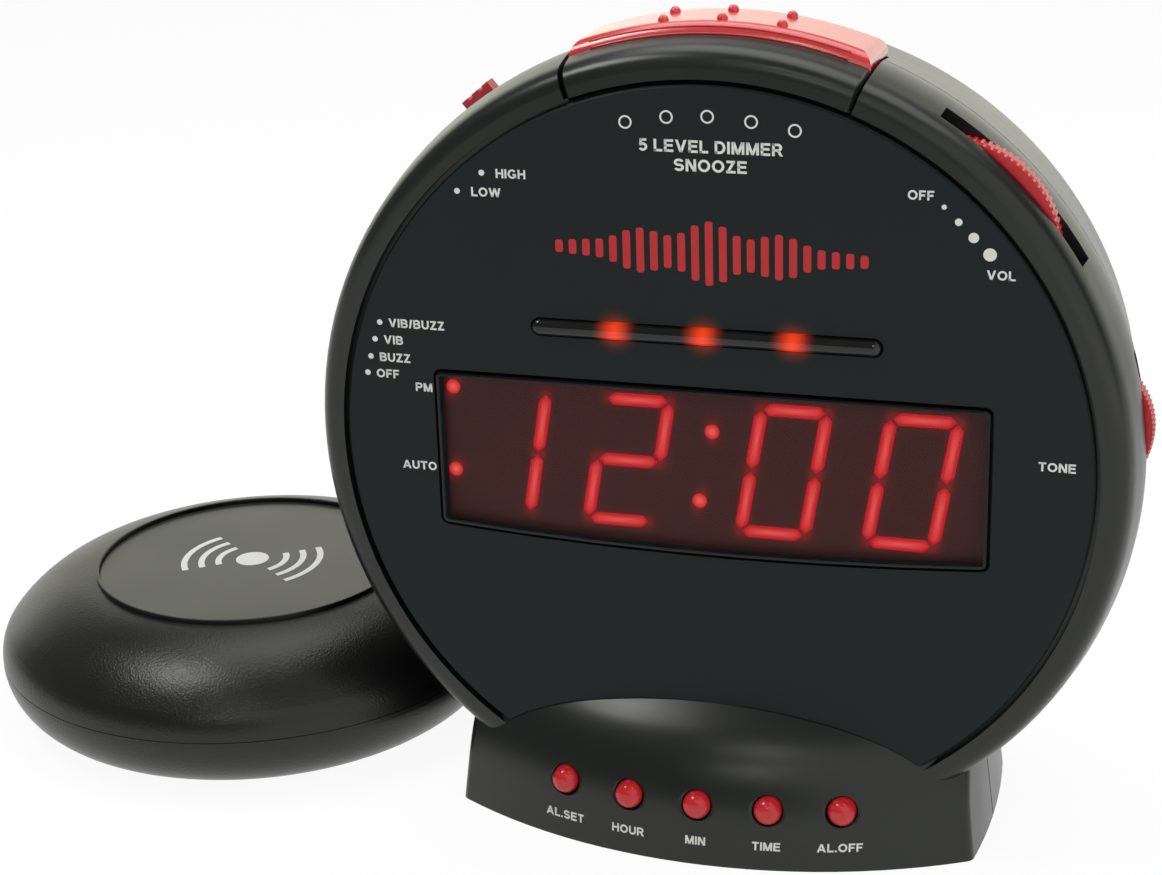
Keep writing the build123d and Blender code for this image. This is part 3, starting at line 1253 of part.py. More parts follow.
def shaker_posts(points, radius, bottom, top):
    """Round upright posts in the shaker, between two heights."""
    with BuildPart() as group:
        with BuildSketch(shaker_plane(bottom)):
            with Locations(*points):
                Circle(radius)
        extrude(amount=top - bottom)
    return group.part


shaker_boss_circle = SHAKER_RADIUS - SHAKER_BOSS_INSET
shaker_boss_points = [around_case(angle, shaker_boss_circle) for angle in SHAKER_BOSS_ANGLES]
gland_plane = Plane(origin=(SHAKER_X, shaker_y, SHAKER_PARTING), x_dir=(1, 0, 0), z_dir=(0, 1, 0))
gland_start = SHAKER_RADIUS - GLAND_LENGTH + GLAND_COLLAR
with BuildPart() as gland_bore:
    with BuildSketch(gland_plane.offset(gland_start)):
        Circle(GLAND_RADIUS)
    extrude(amount=GLAND_LENGTH)

with BuildPart() as upper_cavity:
    with BuildSketch(shaker_section):
        with BuildLine():
            inner = SHAKER_RADIUS - SHAKER_WALL
            top = SHAKER_RIM_RADIUS - SHAKER_WALL
            Polyline((0, SHAKER_PARTING), (inner, SHAKER_PARTING), (inner, SHAKER_SHOULDER - 0.5))
            ThreePointArc(
                (inner, SHAKER_SHOULDER - 0.5),
                (top + 0.66 * (inner - top), SHAKER_SHOULDER + 0.48 * (shaker_ceiling - SHAKER_SHOULDER)),
                (top, shaker_ceiling),
            )
            Polyline((top, shaker_ceiling), (0, shaker_ceiling), (0, SHAKER_PARTING))
        make_face()
    revolve(axis=shaker_axis)
    add(shaker_posts(shaker_boss_points, BOSS_RADIUS, SHAKER_PARTING, SHAKER_HEIGHT), mode=Mode.SUBTRACT)

with BuildPart() as shaker_upper_shell:
    with BuildSketch(shaker_section):
        with BuildLine():
            Polyline(
                (0, SHAKER_PARTING),
                (SHAKER_RADIUS, SHAKER_PARTING),
                (SHAKER_RADIUS - 0.2, SHAKER_SHOULDER),
            )
            ThreePointArc(
                (SHAKER_RADIUS - 0.2, SHAKER_SHOULDER),
                (
                    SHAKER_RIM_RADIUS + 0.69 * (SHAKER_RADIUS - SHAKER_RIM_RADIUS),
                    SHAKER_SHOULDER + 0.51 * (SHAKER_HEIGHT - SHAKER_SHOULDER),
                ),
                (SHAKER_RIM_RADIUS, SHAKER_HEIGHT - SHAKER_LIP),
            )
            Polyline(
                (SHAKER_RIM_RADIUS, SHAKER_HEIGHT - SHAKER_LIP),
                (SHAKER_RIM_RADIUS, SHAKER_HEIGHT),
                (0, SHAKER_HEIGHT),
                (0, SHAKER_PARTING),
            )
        make_face()
        shoulder = (SHAKER_RADIUS - 0.2, SHAKER_SHOULDER, 0)
        fillet(vertices().sort_by_distance(shoulder)[0], SHAKER_SHOULDER_ROUND)
    revolve(axis=shaker_axis)
    add(upper_cavity.part, mode=Mode.SUBTRACT)
    with BuildSketch(shaker_plane(SHAKER_HEIGHT - LABEL_RECESS)):
        Circle(LABEL_RADIUS)
    extrude(amount=LABEL_RECESS, mode=Mode.SUBTRACT)
    fillet(edges().group_by(Axis.Z)[-1], SHAKER_LIP_EDGE)
    shaker_pilot = SHAKER_PARTING + SMALL_SCREW_BITE + 1
    add(shaker_posts(shaker_boss_points, SCREW_RADIUS, SHAKER_PARTING, shaker_pilot), mode=Mode.SUBTRACT)
    add(gland_bore.part, mode=Mode.SUBTRACT)
save(shaker_upper_shell, "shaker_upper_shell")

lower_top = SHAKER_PARTING - SHAKER_LINE
with BuildPart() as lower_cavity:
    with BuildSketch(shaker_section):
        with BuildLine():
            inner = SHAKER_RADIUS - SHAKER_WALL
            foot_radius = SHAKER_BASE_RADIUS - SHAKER_WALL / 2
            Polyline((0, lower_top), (inner, lower_top), (inner, lower_top - 1))
            ThreePointArc(
                (inner, lower_top - 1),
                (inner - 0.22 * (inner - foot_radius), SHAKER_WALL + 0.4 * (lower_top - SHAKER_WALL)),
                (foot_radius, SHAKER_WALL),
            )
            Polyline((foot_radius, SHAKER_WALL), (0, SHAKER_WALL), (0, lower_top))
        make_face()
    revolve(axis=shaker_axis)
    add(shaker_posts(shaker_boss_points, BOSS_RADIUS, 0, SHAKER_PARTING), mode=Mode.SUBTRACT)

with BuildPart() as shaker_lower_shell:
    with BuildSketch(shaker_section):
        with BuildLine():
            Polyline((0, lower_top), (SHAKER_RADIUS, lower_top), (SHAKER_RADIUS, lower_top - 1))
            ThreePointArc(
                (SHAKER_RADIUS, lower_top - 1),
                (SHAKER_RADIUS - 0.22 * (SHAKER_RADIUS - SHAKER_BASE_RADIUS), 0.44 * lower_top),
                (SHAKER_BASE_RADIUS, 0),
            )
            Polyline((SHAKER_BASE_RADIUS, 0), (0, 0), (0, lower_top))
        make_face()
    revolve(axis=shaker_axis)
    add(lower_cavity.part, mode=Mode.SUBTRACT)
    add(shaker_posts(shaker_boss_points, BOSS_RADIUS, lower_top - 1, SHAKER_PARTING))
    add(shaker_posts(shaker_boss_points, SCREW_RADIUS + SCREW_GAP, 0, SHAKER_PARTING), mode=Mode.SUBTRACT)
    head_well = SCREW_HEAD_RADIUS + SCREW_GAP
    add(shaker_posts(shaker_boss_points, head_well, 0, SHAKER_PARTING / 2), mode=Mode.SUBTRACT)
    add(gland_bore.part, mode=Mode.SUBTRACT)
save(shaker_lower_shell, "shaker_lower_shell")

with BuildPart() as shaker_label:
    with BuildSketch(shaker_plane(SHAKER_HEIGHT - LABEL_RECESS)):
        Circle(LABEL_RADIUS - LABEL_GAP)
    extrude(amount=LABEL_THICKNESS)
save(shaker_label, "shaker_label")

# Rubber gland for the shaker's lead
with BuildPart() as shaker_gland:
    with BuildSketch(gland_plane.offset(gland_start)):
        Circle(GLAND_RADIUS)
    extrude(amount=GLAND_LENGTH)
    with BuildSketch(gland_plane.offset(SHAKER_RADIUS)):
        Circle(GLAND_RADIUS + GLAND_COLLAR)
    extrude(amount=GLAND_COLLAR)
    with BuildSketch(gland_plane.offset(gland_start)):
        Circle(GLAND_BORE)
    extrude(amount=GLAND_LENGTH, mode=Mode.SUBTRACT)
save(shaker_gland, "shaker_gland")


# Motor lying across the shaker, with its cradle, strap, shaft and off-centre weight
def motor_plane(along):
    """An upright plane across the motor's axis, at a distance along it from the shaker's middle."""
    return Plane(origin=(SHAKER_X + along, shaker_y, MOTOR_AXIS), x_dir=(0, 1, 0), z_dir=(1, 0, 0))


motor_front = MOTOR_SHIFT + MOTOR_LENGTH / 2
motor_back = MOTOR_SHIFT - MOTOR_LENGTH / 2
with BuildPart() as shaker_motor:
    with BuildSketch(motor_plane(motor_back)):
        Circle(MOTOR_RADIUS)
    extrude(amount=MOTOR_LENGTH)
    chamfer(edges().filter_by(GeomType.CIRCLE), RUNNING_GAP * 12)
    with BuildSketch(motor_plane(motor_front)):
        Circle(WEIGHT_HUB)
    extrude(amount=WEIGHT_STANDOFF / 2)
    with BuildSketch(motor_plane(motor_front + WEIGHT_STANDOFF / 2)):
        Circle(MOTOR_SHAFT + RUNNING_GAP)
    extrude(amount=-MOTOR_BEARING - WEIGHT_STANDOFF / 2, mode=Mode.SUBTRACT)
save(shaker_motor, "shaker_motor")

with BuildPart() as shaker_shaft:
    with BuildSketch(motor_plane(motor_front - MOTOR_BEARING + RUNNING_GAP)):
        Circle(MOTOR_SHAFT)
    extrude(amount=MOTOR_SHAFT_LENGTH)
save(shaker_shaft, "shaker_shaft")

with BuildPart() as shaker_weight:
    with BuildSketch(motor_plane(motor_front + WEIGHT_STANDOFF)):
        Circle(WEIGHT_RADIUS)
        with Locations((0, WEIGHT_RADIUS)):
            Rectangle(2 * WEIGHT_RADIUS, 2 * WEIGHT_RADIUS, mode=Mode.SUBTRACT)
        Circle(WEIGHT_HUB)
        Circle(MOTOR_SHAFT, mode=Mode.SUBTRACT)
    extrude(amount=WEIGHT_LENGTH)
save(shaker_weight, "shaker_weight")

cradle_top = MOTOR_AXIS
with BuildPart() as motor_cradle:
    with BuildSketch(shaker_plane(SHAKER_WALL)):
        with Locations((MOTOR_SHIFT, 0)):
            Rectangle(MOTOR_LENGTH, 2 * CRADLE_HALF_WIDTH)
    extrude(amount=CRADLE_BASE)
    for cheek_end in (motor_back + CRADLE_CHEEK, motor_front - 2 * CRADLE_CHEEK):
        with BuildSketch(motor_plane(cheek_end)):
            with Locations((0, (SHAKER_WALL - MOTOR_AXIS) / 2)):
                Rectangle(2 * CRADLE_HALF_WIDTH, cradle_top - SHAKER_WALL)
        extrude(amount=CRADLE_CHEEK)
    with BuildSketch(motor_plane(motor_back)):
        Circle(MOTOR_RADIUS)
    extrude(amount=MOTOR_LENGTH, mode=Mode.SUBTRACT)
save(motor_cradle, "motor_cradle")

strap_start = motor_back + CRADLE_CHEEK
with BuildPart() as motor_strap:
    with BuildSketch(motor_plane(strap_start)):
        Circle(MOTOR_RADIUS + STRAP_THICKNESS)
        Circle(MOTOR_RADIUS, mode=Mode.SUBTRACT)
        with Locations((0, -MOTOR_RADIUS)):
            Rectangle(4 * MOTOR_RADIUS, 2 * MOTOR_RADIUS, mode=Mode.SUBTRACT)
        ear_middle = (MOTOR_RADIUS + CRADLE_HALF_WIDTH) / 2
        with Locations((-ear_middle, STRAP_THICKNESS / 2), (ear_middle, STRAP_THICKNESS / 2)):
            Rectangle(CRADLE_HALF_WIDTH - MOTOR_RADIUS, STRAP_THICKNESS)
        Circle(MOTOR_RADIUS, mode=Mode.SUBTRACT)
    extrude(amount=CRADLE_CHEEK)
save(motor_strap, "motor_strap")


def shaker_down(height):
    """A level plane under the shaker that faces the floor."""
    return Plane(origin=(SHAKER_X, shaker_y, height), x_dir=(-1, 0, 0), z_dir=(0, 0, -1))


shaker_screw_bite = SHAKER_PARTING / 2 + SMALL_SCREW_BITE
save(
    screws(shaker_down, mirrored(shaker_boss_points), SHAKER_PARTING / 2, shaker_screw_bite, SCREW_HEAD),
    "shaker_screws",
)
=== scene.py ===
import json
from math import asin, cos, exp, pi, radians, sin, sqrt

import bmesh
import bpy
from mathutils import Matrix, Vector


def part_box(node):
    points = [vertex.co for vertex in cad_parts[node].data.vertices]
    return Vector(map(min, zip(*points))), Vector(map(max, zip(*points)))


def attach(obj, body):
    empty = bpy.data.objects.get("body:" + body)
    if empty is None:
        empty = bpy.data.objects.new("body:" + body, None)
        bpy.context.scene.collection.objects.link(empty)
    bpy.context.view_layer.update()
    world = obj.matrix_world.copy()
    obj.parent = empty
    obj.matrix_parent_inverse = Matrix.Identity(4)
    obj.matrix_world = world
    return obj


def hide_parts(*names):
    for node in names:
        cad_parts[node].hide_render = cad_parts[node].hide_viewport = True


# A bed shaker alarm clock: the finishes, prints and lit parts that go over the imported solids.
# Metres, +Z up. The face looks along -Y, so depth behind the face is +Y.

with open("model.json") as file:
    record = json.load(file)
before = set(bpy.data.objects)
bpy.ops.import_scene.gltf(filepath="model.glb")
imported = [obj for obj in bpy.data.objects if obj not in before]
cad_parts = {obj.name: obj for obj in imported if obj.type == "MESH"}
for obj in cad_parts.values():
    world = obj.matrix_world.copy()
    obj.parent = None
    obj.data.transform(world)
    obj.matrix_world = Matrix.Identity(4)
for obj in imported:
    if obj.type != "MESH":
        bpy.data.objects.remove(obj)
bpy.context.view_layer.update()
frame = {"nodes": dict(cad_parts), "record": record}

MM = 0.001
NODES = frame["nodes"]

# Places read from the solids
face_low, face_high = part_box("face_plate")
FACE_Y = face_low.y
FACE_RADIUS = face_high.x
FACE_Z = face_high.z - FACE_RADIUS
bar_low, bar_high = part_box("light_bar_lens")
BAR_Z = (bar_low.z + bar_high.z) / 2
lamp_low, lamp_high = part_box("alert_lamps")
LAMP_WIDTH = 2.8 * MM
LAMP_PITCH = (lamp_high.x - lamp_low.x - LAMP_WIDTH) / 2
MODULE_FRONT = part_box("display_module")[0].y
lens_low, lens_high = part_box("display_lens")
label_low, label_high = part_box("shaker_label")
LABEL_CENTRE = (label_low + label_high) / 2
snooze_low, snooze_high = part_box("snooze_bar")

# Printed layers
BAR_CORNER_SHARE = 0.3
PRINT_RISE = 0.03 * MM
PRINT_SINK = 0.02 * MM
PRINT_LAYER = PRINT_RISE + PRINT_SINK
RING_SIDES = 48
DOT_SIDES = 28

# Display film and glow
FILM_FRONT = MODULE_FRONT - 0.12 * MM
FILM_BACK = MODULE_FRONT - 0.01 * MM
FILM_HALF_WIDTH = 48.4 * MM
FILM_MARGIN = 0.55 * MM
FILM_STEP = 0.45 * MM
WINDOW_BOW = 2.0 * MM
SEGMENT_FRONT = MODULE_FRONT - 0.17 * MM
LENS_BACK = MODULE_FRONT - 0.25 * MM
LENS_FRONT = FACE_Y - 0.35 * MM
LENS_BEVEL = 0.45 * MM
LENS_BORDER = 0.25 * MM
MASK_BACK = MODULE_FRONT - 0.19 * MM
MASK_LAYER = 0.05 * MM
GLOW_SPREAD = 1.15 * MM
GLOW_STRENGTH = 0.24

# Foot front, a dome that leans back as it rises
FOOT_AXIS_Y = 82.0 * MM
FOOT_ROUND = 95.0 * MM
FOOT_LEAN = 2.5 / 18.0


def srgb(red, green, blue):
    """A colour given as screen values from 0 to 255, as the linear colour that shaders take."""
    shares = [value / 255 for value in (red, green, blue)]
    linear = [s / 12.92 if s <= 0.04045 else ((s + 0.055) / 1.055) ** 2.4 for s in shares]
    return (*linear, 1.0)


# Shared shader groups
PIT_SHARE = 0.5
LAMP_FALL_OFF = 2.2
BUMP_STRENGTH = 0.6
NOISE_LOW = 0.25
NOISE_HIGH = 0.75


def shader_group(name, inputs, outputs):
    """An empty shader group with named sockets, and its input and output nodes."""
    group = bpy.data.node_groups.new(name, "ShaderNodeTree")
    for socket_name, kind in inputs:
        group.interface.new_socket(name=socket_name, in_out="INPUT", socket_type=kind)
    for socket_name, kind in outputs:
        group.interface.new_socket(name=socket_name, in_out="OUTPUT", socket_type=kind)
    return group, group.nodes.new("NodeGroupInput"), group.nodes.new("NodeGroupOutput")


def maths(tree, operation, first, second=None, clamp=False):
    """A Math node on two values, each a socket or a number."""
    node = tree.nodes.new("ShaderNodeMath")
    node.operation = operation
    node.use_clamp = clamp
    for socket, value in zip(node.inputs, (first, second)):
        if isinstance(value, bpy.types.NodeSocket):
            tree.links.new(value, socket)
        elif value is not None:
            socket.default_value = value
    return node.outputs[0]


def noise(tree, position, scale, detail=2.0):
    """A Noise texture's value at a position, with its scale a socket or a number."""
    node = tree.nodes.new("ShaderNodeTexNoise")
    node.inputs["Detail"].default_value = detail
    tree.links.new(position, node.inputs["Vector"])
    if isinstance(scale, bpy.types.NodeSocket):
        tree.links.new(scale, node.inputs["Scale"])
    else:
        node.inputs["Scale"].default_value = scale
    return node.outputs["Fac"]


def moulded_skin_group():
    """Fine grain of a moulded surface, and a slow drift of its colour and gloss."""
    group, start, end = shader_group(
        "Moulded skin",
        [("Position", "NodeSocketVector"), ("Grain", "NodeSocketFloat"), ("Drift", "NodeSocketFloat")],
        [("Height", "NodeSocketFloat"), ("Mottle", "NodeSocketFloat")],
    )
    position = start.outputs["Position"]
    grain = noise(group, position, start.outputs["Grain"], 3.0)
    pits = group.nodes.new("ShaderNodeTexVoronoi")
    group.links.new(position, pits.inputs["Vector"])
    group.links.new(start.outputs["Grain"], pits.inputs["Scale"])
    height = maths(group, "ADD", grain, maths(group, "MULTIPLY", pits.outputs["Distance"], PIT_SHARE))
    group.links.new(height, end.inputs["Height"])
    group.links.new(noise(group, position, start.outputs["Drift"], 4.0), end.inputs["Mottle"])
    return group


def lamp_light_group():
    """How near a point is to the three lamps of the light bar: 1 at a lamp, 0 beyond its reach."""
    group, start, end = shader_group(
        "Lamp light",
        [("Position", "NodeSocketVector"), ("Reach", "NodeSocketFloat")],
        [("Glow", "NodeSocketFloat")],
    )
    total = 0.0
    for step in (-1, 0, 1):
        away = group.nodes.new("ShaderNodeVectorMath")
        away.operation = "DISTANCE"
        group.links.new(start.outputs["Position"], away.inputs[0])
        away.inputs[1].default_value = (step * LAMP_PITCH, FACE_Y, BAR_Z)
        share = maths(group, "DIVIDE", away.outputs["Value"], start.outputs["Reach"])
        near = maths(group, "SUBTRACT", 1.0, share, clamp=True)
        total = maths(group, "ADD", total, maths(group, "POWER", near, LAMP_FALL_OFF))
    group.links.new(total, end.inputs["Glow"])
    return group


MOULDED_SKIN = moulded_skin_group()
LAMP_LIGHT = lamp_light_group()


# Materials
def bare_material(name, **sockets):
    """A material with one Principled shader, with the given constants on its own sockets."""
    material = bpy.data.materials.new(name)
    material.use_nodes = True
    tree = material.node_tree
    tree.nodes.clear()
    shader = tree.nodes.new("ShaderNodeBsdfPrincipled")
    output = tree.nodes.new("ShaderNodeOutputMaterial")
    tree.links.new(shader.outputs["BSDF"], output.inputs["Surface"])
    for socket_name, value in sockets.items():
        shader.inputs[socket_name.replace("_", " ")].default_value = value
    return material, tree, shader


def object_position(tree):
    """The surface's place in the shared frame."""
    return tree.nodes.new("ShaderNodeTexCoord").outputs["Object"]


def placed_group(tree, group, position, **values):
    """A shared group in a material, fed with a position and its own values."""
    node = tree.nodes.new("ShaderNodeGroup")
    node.node_tree = group
    tree.links.new(position, node.inputs["Position"])
    for socket_name, value in values.items():
        node.inputs[socket_name].default_value = value
    return node


def two_colours(tree, share, first, second):
    """A colour that goes from the first to the second as the share goes from 0 to 1."""
    node = tree.nodes.new("ShaderNodeMix")
    node.data_type = "RGBA"
    tree.links.new(share, node.inputs["Factor"])
    for socket in node.inputs:
        if socket.type == "RGBA" and socket.name == "A":
            socket.default_value = first
        if socket.type == "RGBA" and socket.name == "B":
            socket.default_value = second
    return next(out for out in node.outputs if out.type == "RGBA")


def spread(tree, value, low, high):
    """A noise value drawn out between two limits."""
    node = tree.nodes.new("ShaderNodeMapRange")
    tree.links.new(value, node.inputs["Value"])
    node.inputs["From Min"].default_value = NOISE_LOW
    node.inputs["From Max"].default_value = NOISE_HIGH
    node.inputs["To Min"].default_value = low
    node.inputs["To Max"].default_value = high
    return node.outputs["Result"]


def relief(tree, shader, height, depth):
    """Bumps of a given depth on a surface."""
    bump = tree.nodes.new("ShaderNodeBump")
    bump.inputs["Strength"].default_value = BUMP_STRENGTH
    bump.inputs["Distance"].default_value = depth
    tree.links.new(height, bump.inputs["Height"])
    tree.links.new(bump.outputs["Normal"], shader.inputs["Normal"])


def moulded(name, deep, pale, gloss, grain, depth, drift=40.0, **sockets):
    """A moulded or painted surface: fine grain, and colour and gloss that drift a little."""
    material, tree, shader = bare_material(name, **sockets)
    skin = placed_group(tree, MOULDED_SKIN, object_position(tree), Grain=grain, Drift=drift)
    mottle = skin.outputs["Mottle"]
    tree.links.new(two_colours(tree, mottle, deep, pale), shader.inputs["Base Color"])
    tree.links.new(spread(tree, mottle, *gloss), shader.inputs["Roughness"])
    relief(tree, shader, skin.outputs["Height"], depth)
    return material


# Dark plastics reflect a little less blue
DARK_TINT = (1.0, 1.0, 0.93, 1.0)


def case_plastic():
    return moulded(
        "case_plastic", srgb(15, 20, 19), srgb(20, 25, 23), (0.26, 0.34), 3200.0, 0.01 * MM,
        Specular_IOR_Level=0.46, Specular_Tint=DARK_TINT,
    )


def lamp_spill(material, colour, reach):
    """Light of the three lamps on what lies round them."""
    tree = material.node_tree
    shader = next(node for node in tree.nodes if node.type == "BSDF_PRINCIPLED")
    light = placed_group(tree, LAMP_LIGHT, object_position(tree), Reach=reach)
    black = (0.0, 0.0, 0.0, 1.0)
    tree.links.new(two_colours(tree, light.outputs["Glow"], black, colour), shader.inputs["Emission Color"])
    return material


def face_paint():
    material = moulded(
        "face_paint", srgb(19, 26, 26), srgb(23, 30, 30), (0.42, 0.52), 5200.0, 0.008 * MM,
        Specular_IOR_Level=0.2, Emission_Strength=0.7,
    )
    return lamp_spill(material, srgb(206, 58, 16), 4.6 * MM)


def red_plastic():
    return moulded(
        "red_plastic", srgb(186, 16, 24), srgb(204, 26, 33), (0.24, 0.34), 2600.0, 0.008 * MM,
        Subsurface_Weight=0.35, Subsurface_Radius=(1.0, 0.2, 0.16), Subsurface_Scale=2.0 * MM,
    )


def snooze_plastic():
    """Cloudy red plastic with a clear gloss over it."""
    return moulded(
        "snooze_plastic", srgb(206, 40, 44), srgb(216, 50, 52), (0.2, 0.28), 2600.0, 0.004 * MM,
        Subsurface_Weight=0.5, Subsurface_Radius=(1.0, 0.3, 0.26), Subsurface_Scale=3.0 * MM,
        Coat_Weight=0.8, Coat_Roughness=0.16,
    )


def red_button():
    return moulded(
        "red_button", srgb(198, 32, 40), srgb(212, 42, 50), (0.1, 0.16), 2600.0, 0.003 * MM,
        Subsurface_Weight=0.25, Subsurface_Radius=(1.0, 0.2, 0.16), Subsurface_Scale=1.0 * MM,
    )


def smoked_plastic():
    return moulded(
        "smoked_plastic", srgb(14, 8, 8), srgb(18, 10, 10), (0.08, 0.12), 900.0, 0.0004 * MM,
        Alpha=0.22, Specular_IOR_Level=0.35,
    )


def clear_plastic():
    material = moulded(
        "clear_plastic", srgb(12, 13, 11), srgb(17, 18, 15), (0.02, 0.035), 900.0, 0.0001 * MM,
        Alpha=0.92, Emission_Strength=2.2,
    )
    return lamp_spill(material, srgb(240, 60, 12), 4.4 * MM)


def lit_lamp():
    material = moulded(
        "lit_lamp", srgb(255, 120, 60), srgb(255, 150, 80), (0.3, 0.4), 2000.0, 0.01 * MM,
        Emission_Strength=1.4,
    )
    return lamp_spill(material, srgb(255, 110, 40), 9.0 * MM)


def display_film():
    """The red film over the digits, brighter round each lit stroke."""
    material = moulded(
        "display_film", srgb(97, 43, 37), srgb(102, 46, 39), (0.4, 0.5), 1800.0, 0.0001 * MM,
        Emission_Strength=1.0, Specular_IOR_Level=0.2,
    )
    tree = material.node_tree
    shader = next(node for node in tree.nodes if node.type == "BSDF_PRINCIPLED")
    glow = tree.nodes.new("ShaderNodeAttribute")
    glow.attribute_name = "glow"
    dark, lit = (0.0, 0.0, 0.0, 1.0), srgb(232, 18, 30)
    tree.links.new(two_colours(tree, glow.outputs["Fac"], dark, lit), shader.inputs["Emission Color"])
    return material


def lit_strokes(name, edge, core):
    """Lit display strokes, paler along the middle."""
    material, tree, shader = bare_material(
        name, Base_Color=srgb(60, 6, 8), Roughness=0.4, Specular_IOR_Level=0.1, Emission_Strength=1.25,
    )
    middle = tree.nodes.new("ShaderNodeAttribute")
    middle.attribute_name = "core"
    colour = two_colours(tree, middle.outputs["Fac"], edge, core)
    tree.links.new(colour, shader.inputs["Emission Color"])
    return material


def steel():
    """Bright plated steel with fine drawn lines."""
    material, tree, shader = bare_material("steel", Metallic=1.0)
    position = object_position(tree)
    drawn = tree.nodes.new("ShaderNodeMapping")
    drawn.inputs["Scale"].default_value = (900.0, 60.0, 900.0)
    tree.links.new(position, drawn.inputs["Vector"])
    lines = noise(tree, drawn.outputs["Vector"], 1.0, 4.0)
    colour = two_colours(tree, lines, srgb(150, 150, 148), srgb(206, 206, 202))
    tree.links.new(colour, shader.inputs["Base Color"])
    tree.links.new(spread(tree, lines, 0.24, 0.42), shader.inputs["Roughness"])
    relief(tree, shader, lines, 0.01 * MM)
    return material


def circuit_board():
    """Green board with a lacquered pattern of tracks."""
    material, tree, shader = bare_material("circuit_board", Roughness=0.4, Coat_Weight=0.4)
    tracks = tree.nodes.new("ShaderNodeTexBrick")
    tracks.inputs["Scale"].default_value = 260.0
    tracks.inputs["Mortar Size"].default_value = 0.04
    tracks.inputs["Color1"].default_value = srgb(22, 78, 44)
    tracks.inputs["Color2"].default_value = srgb(28, 92, 52)
    tracks.inputs["Mortar"].default_value = srgb(70, 128, 74)
    turned = tree.nodes.new("ShaderNodeMapping")
    turned.inputs["Rotation"].default_value = (radians(90), 0.0, 0.0)
    tree.links.new(object_position(tree), turned.inputs["Vector"])
    tree.links.new(turned.outputs["Vector"], tracks.inputs["Vector"])
    tree.links.new(tracks.outputs["Color"], shader.inputs["Base Color"])
    relief(tree, shader, tracks.outputs["Fac"], 0.03 * MM)
    return material


def cone_paper():
    """Pressed black paper with fine rings round the speaker's middle."""
    material, tree, shader = bare_material("cone_paper", Roughness=0.8)
    cone_low, cone_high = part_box("speaker_cone")
    centre = (cone_low + cone_high) / 2
    centred = tree.nodes.new("ShaderNodeMapping")
    centred.inputs["Location"].default_value = -centre
    tree.links.new(object_position(tree), centred.inputs["Vector"])
    rings = tree.nodes.new("ShaderNodeTexWave")
    rings.wave_type = "RINGS"
    rings.rings_direction = "Y"
    rings.inputs["Scale"].default_value = 160.0
    rings.inputs["Distortion"].default_value = 0.4
    tree.links.new(centred.outputs["Vector"], rings.inputs["Vector"])
    colour = two_colours(tree, rings.outputs["Fac"], srgb(26, 26, 26), srgb(44, 43, 41))
    tree.links.new(colour, shader.inputs["Base Color"])
    relief(tree, shader, rings.outputs["Fac"], 0.15 * MM)
    return material


def white_ink():
    return moulded("white_ink", srgb(222, 222, 216), srgb(236, 236, 230), (0.45, 0.6), 6000.0, 0.004 * MM)


def red_ink():
    return moulded("red_ink", srgb(182, 26, 32), srgb(198, 36, 40), (0.45, 0.6), 6000.0, 0.004 * MM)


CASE = case_plastic()
RED = red_plastic()
RED_BUTTON = red_button()
SNOOZE_RED = snooze_plastic()
WHITE_INK = white_ink()
RED_INK = red_ink()
BLACK_GLOSS = moulded(
    "black_gloss", srgb(8, 8, 8), srgb(11, 11, 11), (0.1, 0.16), 3000.0, 0.001 * MM, Specular_IOR_Level=0.25,
)
BLACK_MASK = moulded("black_mask", srgb(9, 8, 8), srgb(14, 12, 12), (0.4, 0.5), 3000.0, 0.004 * MM)
FILM = display_film()
SMOKED = smoked_plastic()
STROKES = lit_strokes("lit_strokes", srgb(208, 20, 34), srgb(246, 96, 90))
DOTS = lit_strokes("lit_dots", srgb(226, 44, 48), srgb(250, 112, 100))
FINISHES = {
    "case": CASE,
    "face": face_paint(),
    "red": RED,
    "smoked_lens": SMOKED,
    "clear_lens": clear_plastic(),
    "display_black": moulded("display_black", srgb(9, 8, 8), srgb(14, 12, 12), (0.5, 0.6), 2400.0, 0.01 * MM),
    "glow_red": STROKES,
    "glow_dot": DOTS,
    "segment_dark": moulded(
        "dark_segment", srgb(52, 24, 22), srgb(60, 28, 26), (0.4, 0.5), 2400.0, 0.005 * MM,
    ),
    "lamp": lit_lamp(),
    "board": circuit_board(),
    "component_black": moulded(
        "component_black", srgb(20, 20, 21), srgb(30, 30, 31), (0.4, 0.6), 3000.0, 0.03 * MM,
    ),
    "steel": steel(),
    "cone": cone_paper(),
    "magnet": moulded("magnet_ferrite", srgb(46, 46, 48), srgb(62, 62, 64), (0.5, 0.7), 2600.0, 0.03 * MM),
    "base": moulded("base_plastic", srgb(20, 21, 21), srgb(27, 28, 28), (0.46, 0.58), 2200.0, 0.05 * MM),
    "contact": steel(),
    "rubber": moulded("grip_rubber", srgb(16, 16, 16), srgb(24, 24, 24), (0.7, 0.85), 2600.0, 0.05 * MM),
    "shaker_shell": moulded(
        "shaker_plastic", srgb(9, 11, 10), srgb(13, 15, 13), (0.28, 0.36), 2300.0, 0.085 * MM,
        Specular_IOR_Level=0.45, Specular_Tint=DARK_TINT,
    ),
    "label": moulded("label_film", srgb(38, 40, 34), srgb(45, 47, 40), (0.28, 0.36), 2600.0, 0.004 * MM),
    "weight": steel(),
}


# Solids that differ from the rest of their slot
NODE_FINISHES = {node: RED_BUTTON for node in NODES if node.endswith("_button")}
NODE_FINISHES["alert_lamp_strip"] = BLACK_MASK
NODE_FINISHES["snooze_bar"] = SNOOZE_RED


def dress_solids():
    """Every solid takes its own finish, or that of its slot in the record."""
    for subpart in frame["record"]["subparts"]:
        solid = NODES[subpart["node"]]
        finish = NODE_FINISHES.get(subpart["node"], FINISHES[subpart["material_slot"]])
        for slot in solid.material_slots:
            slot.material = finish


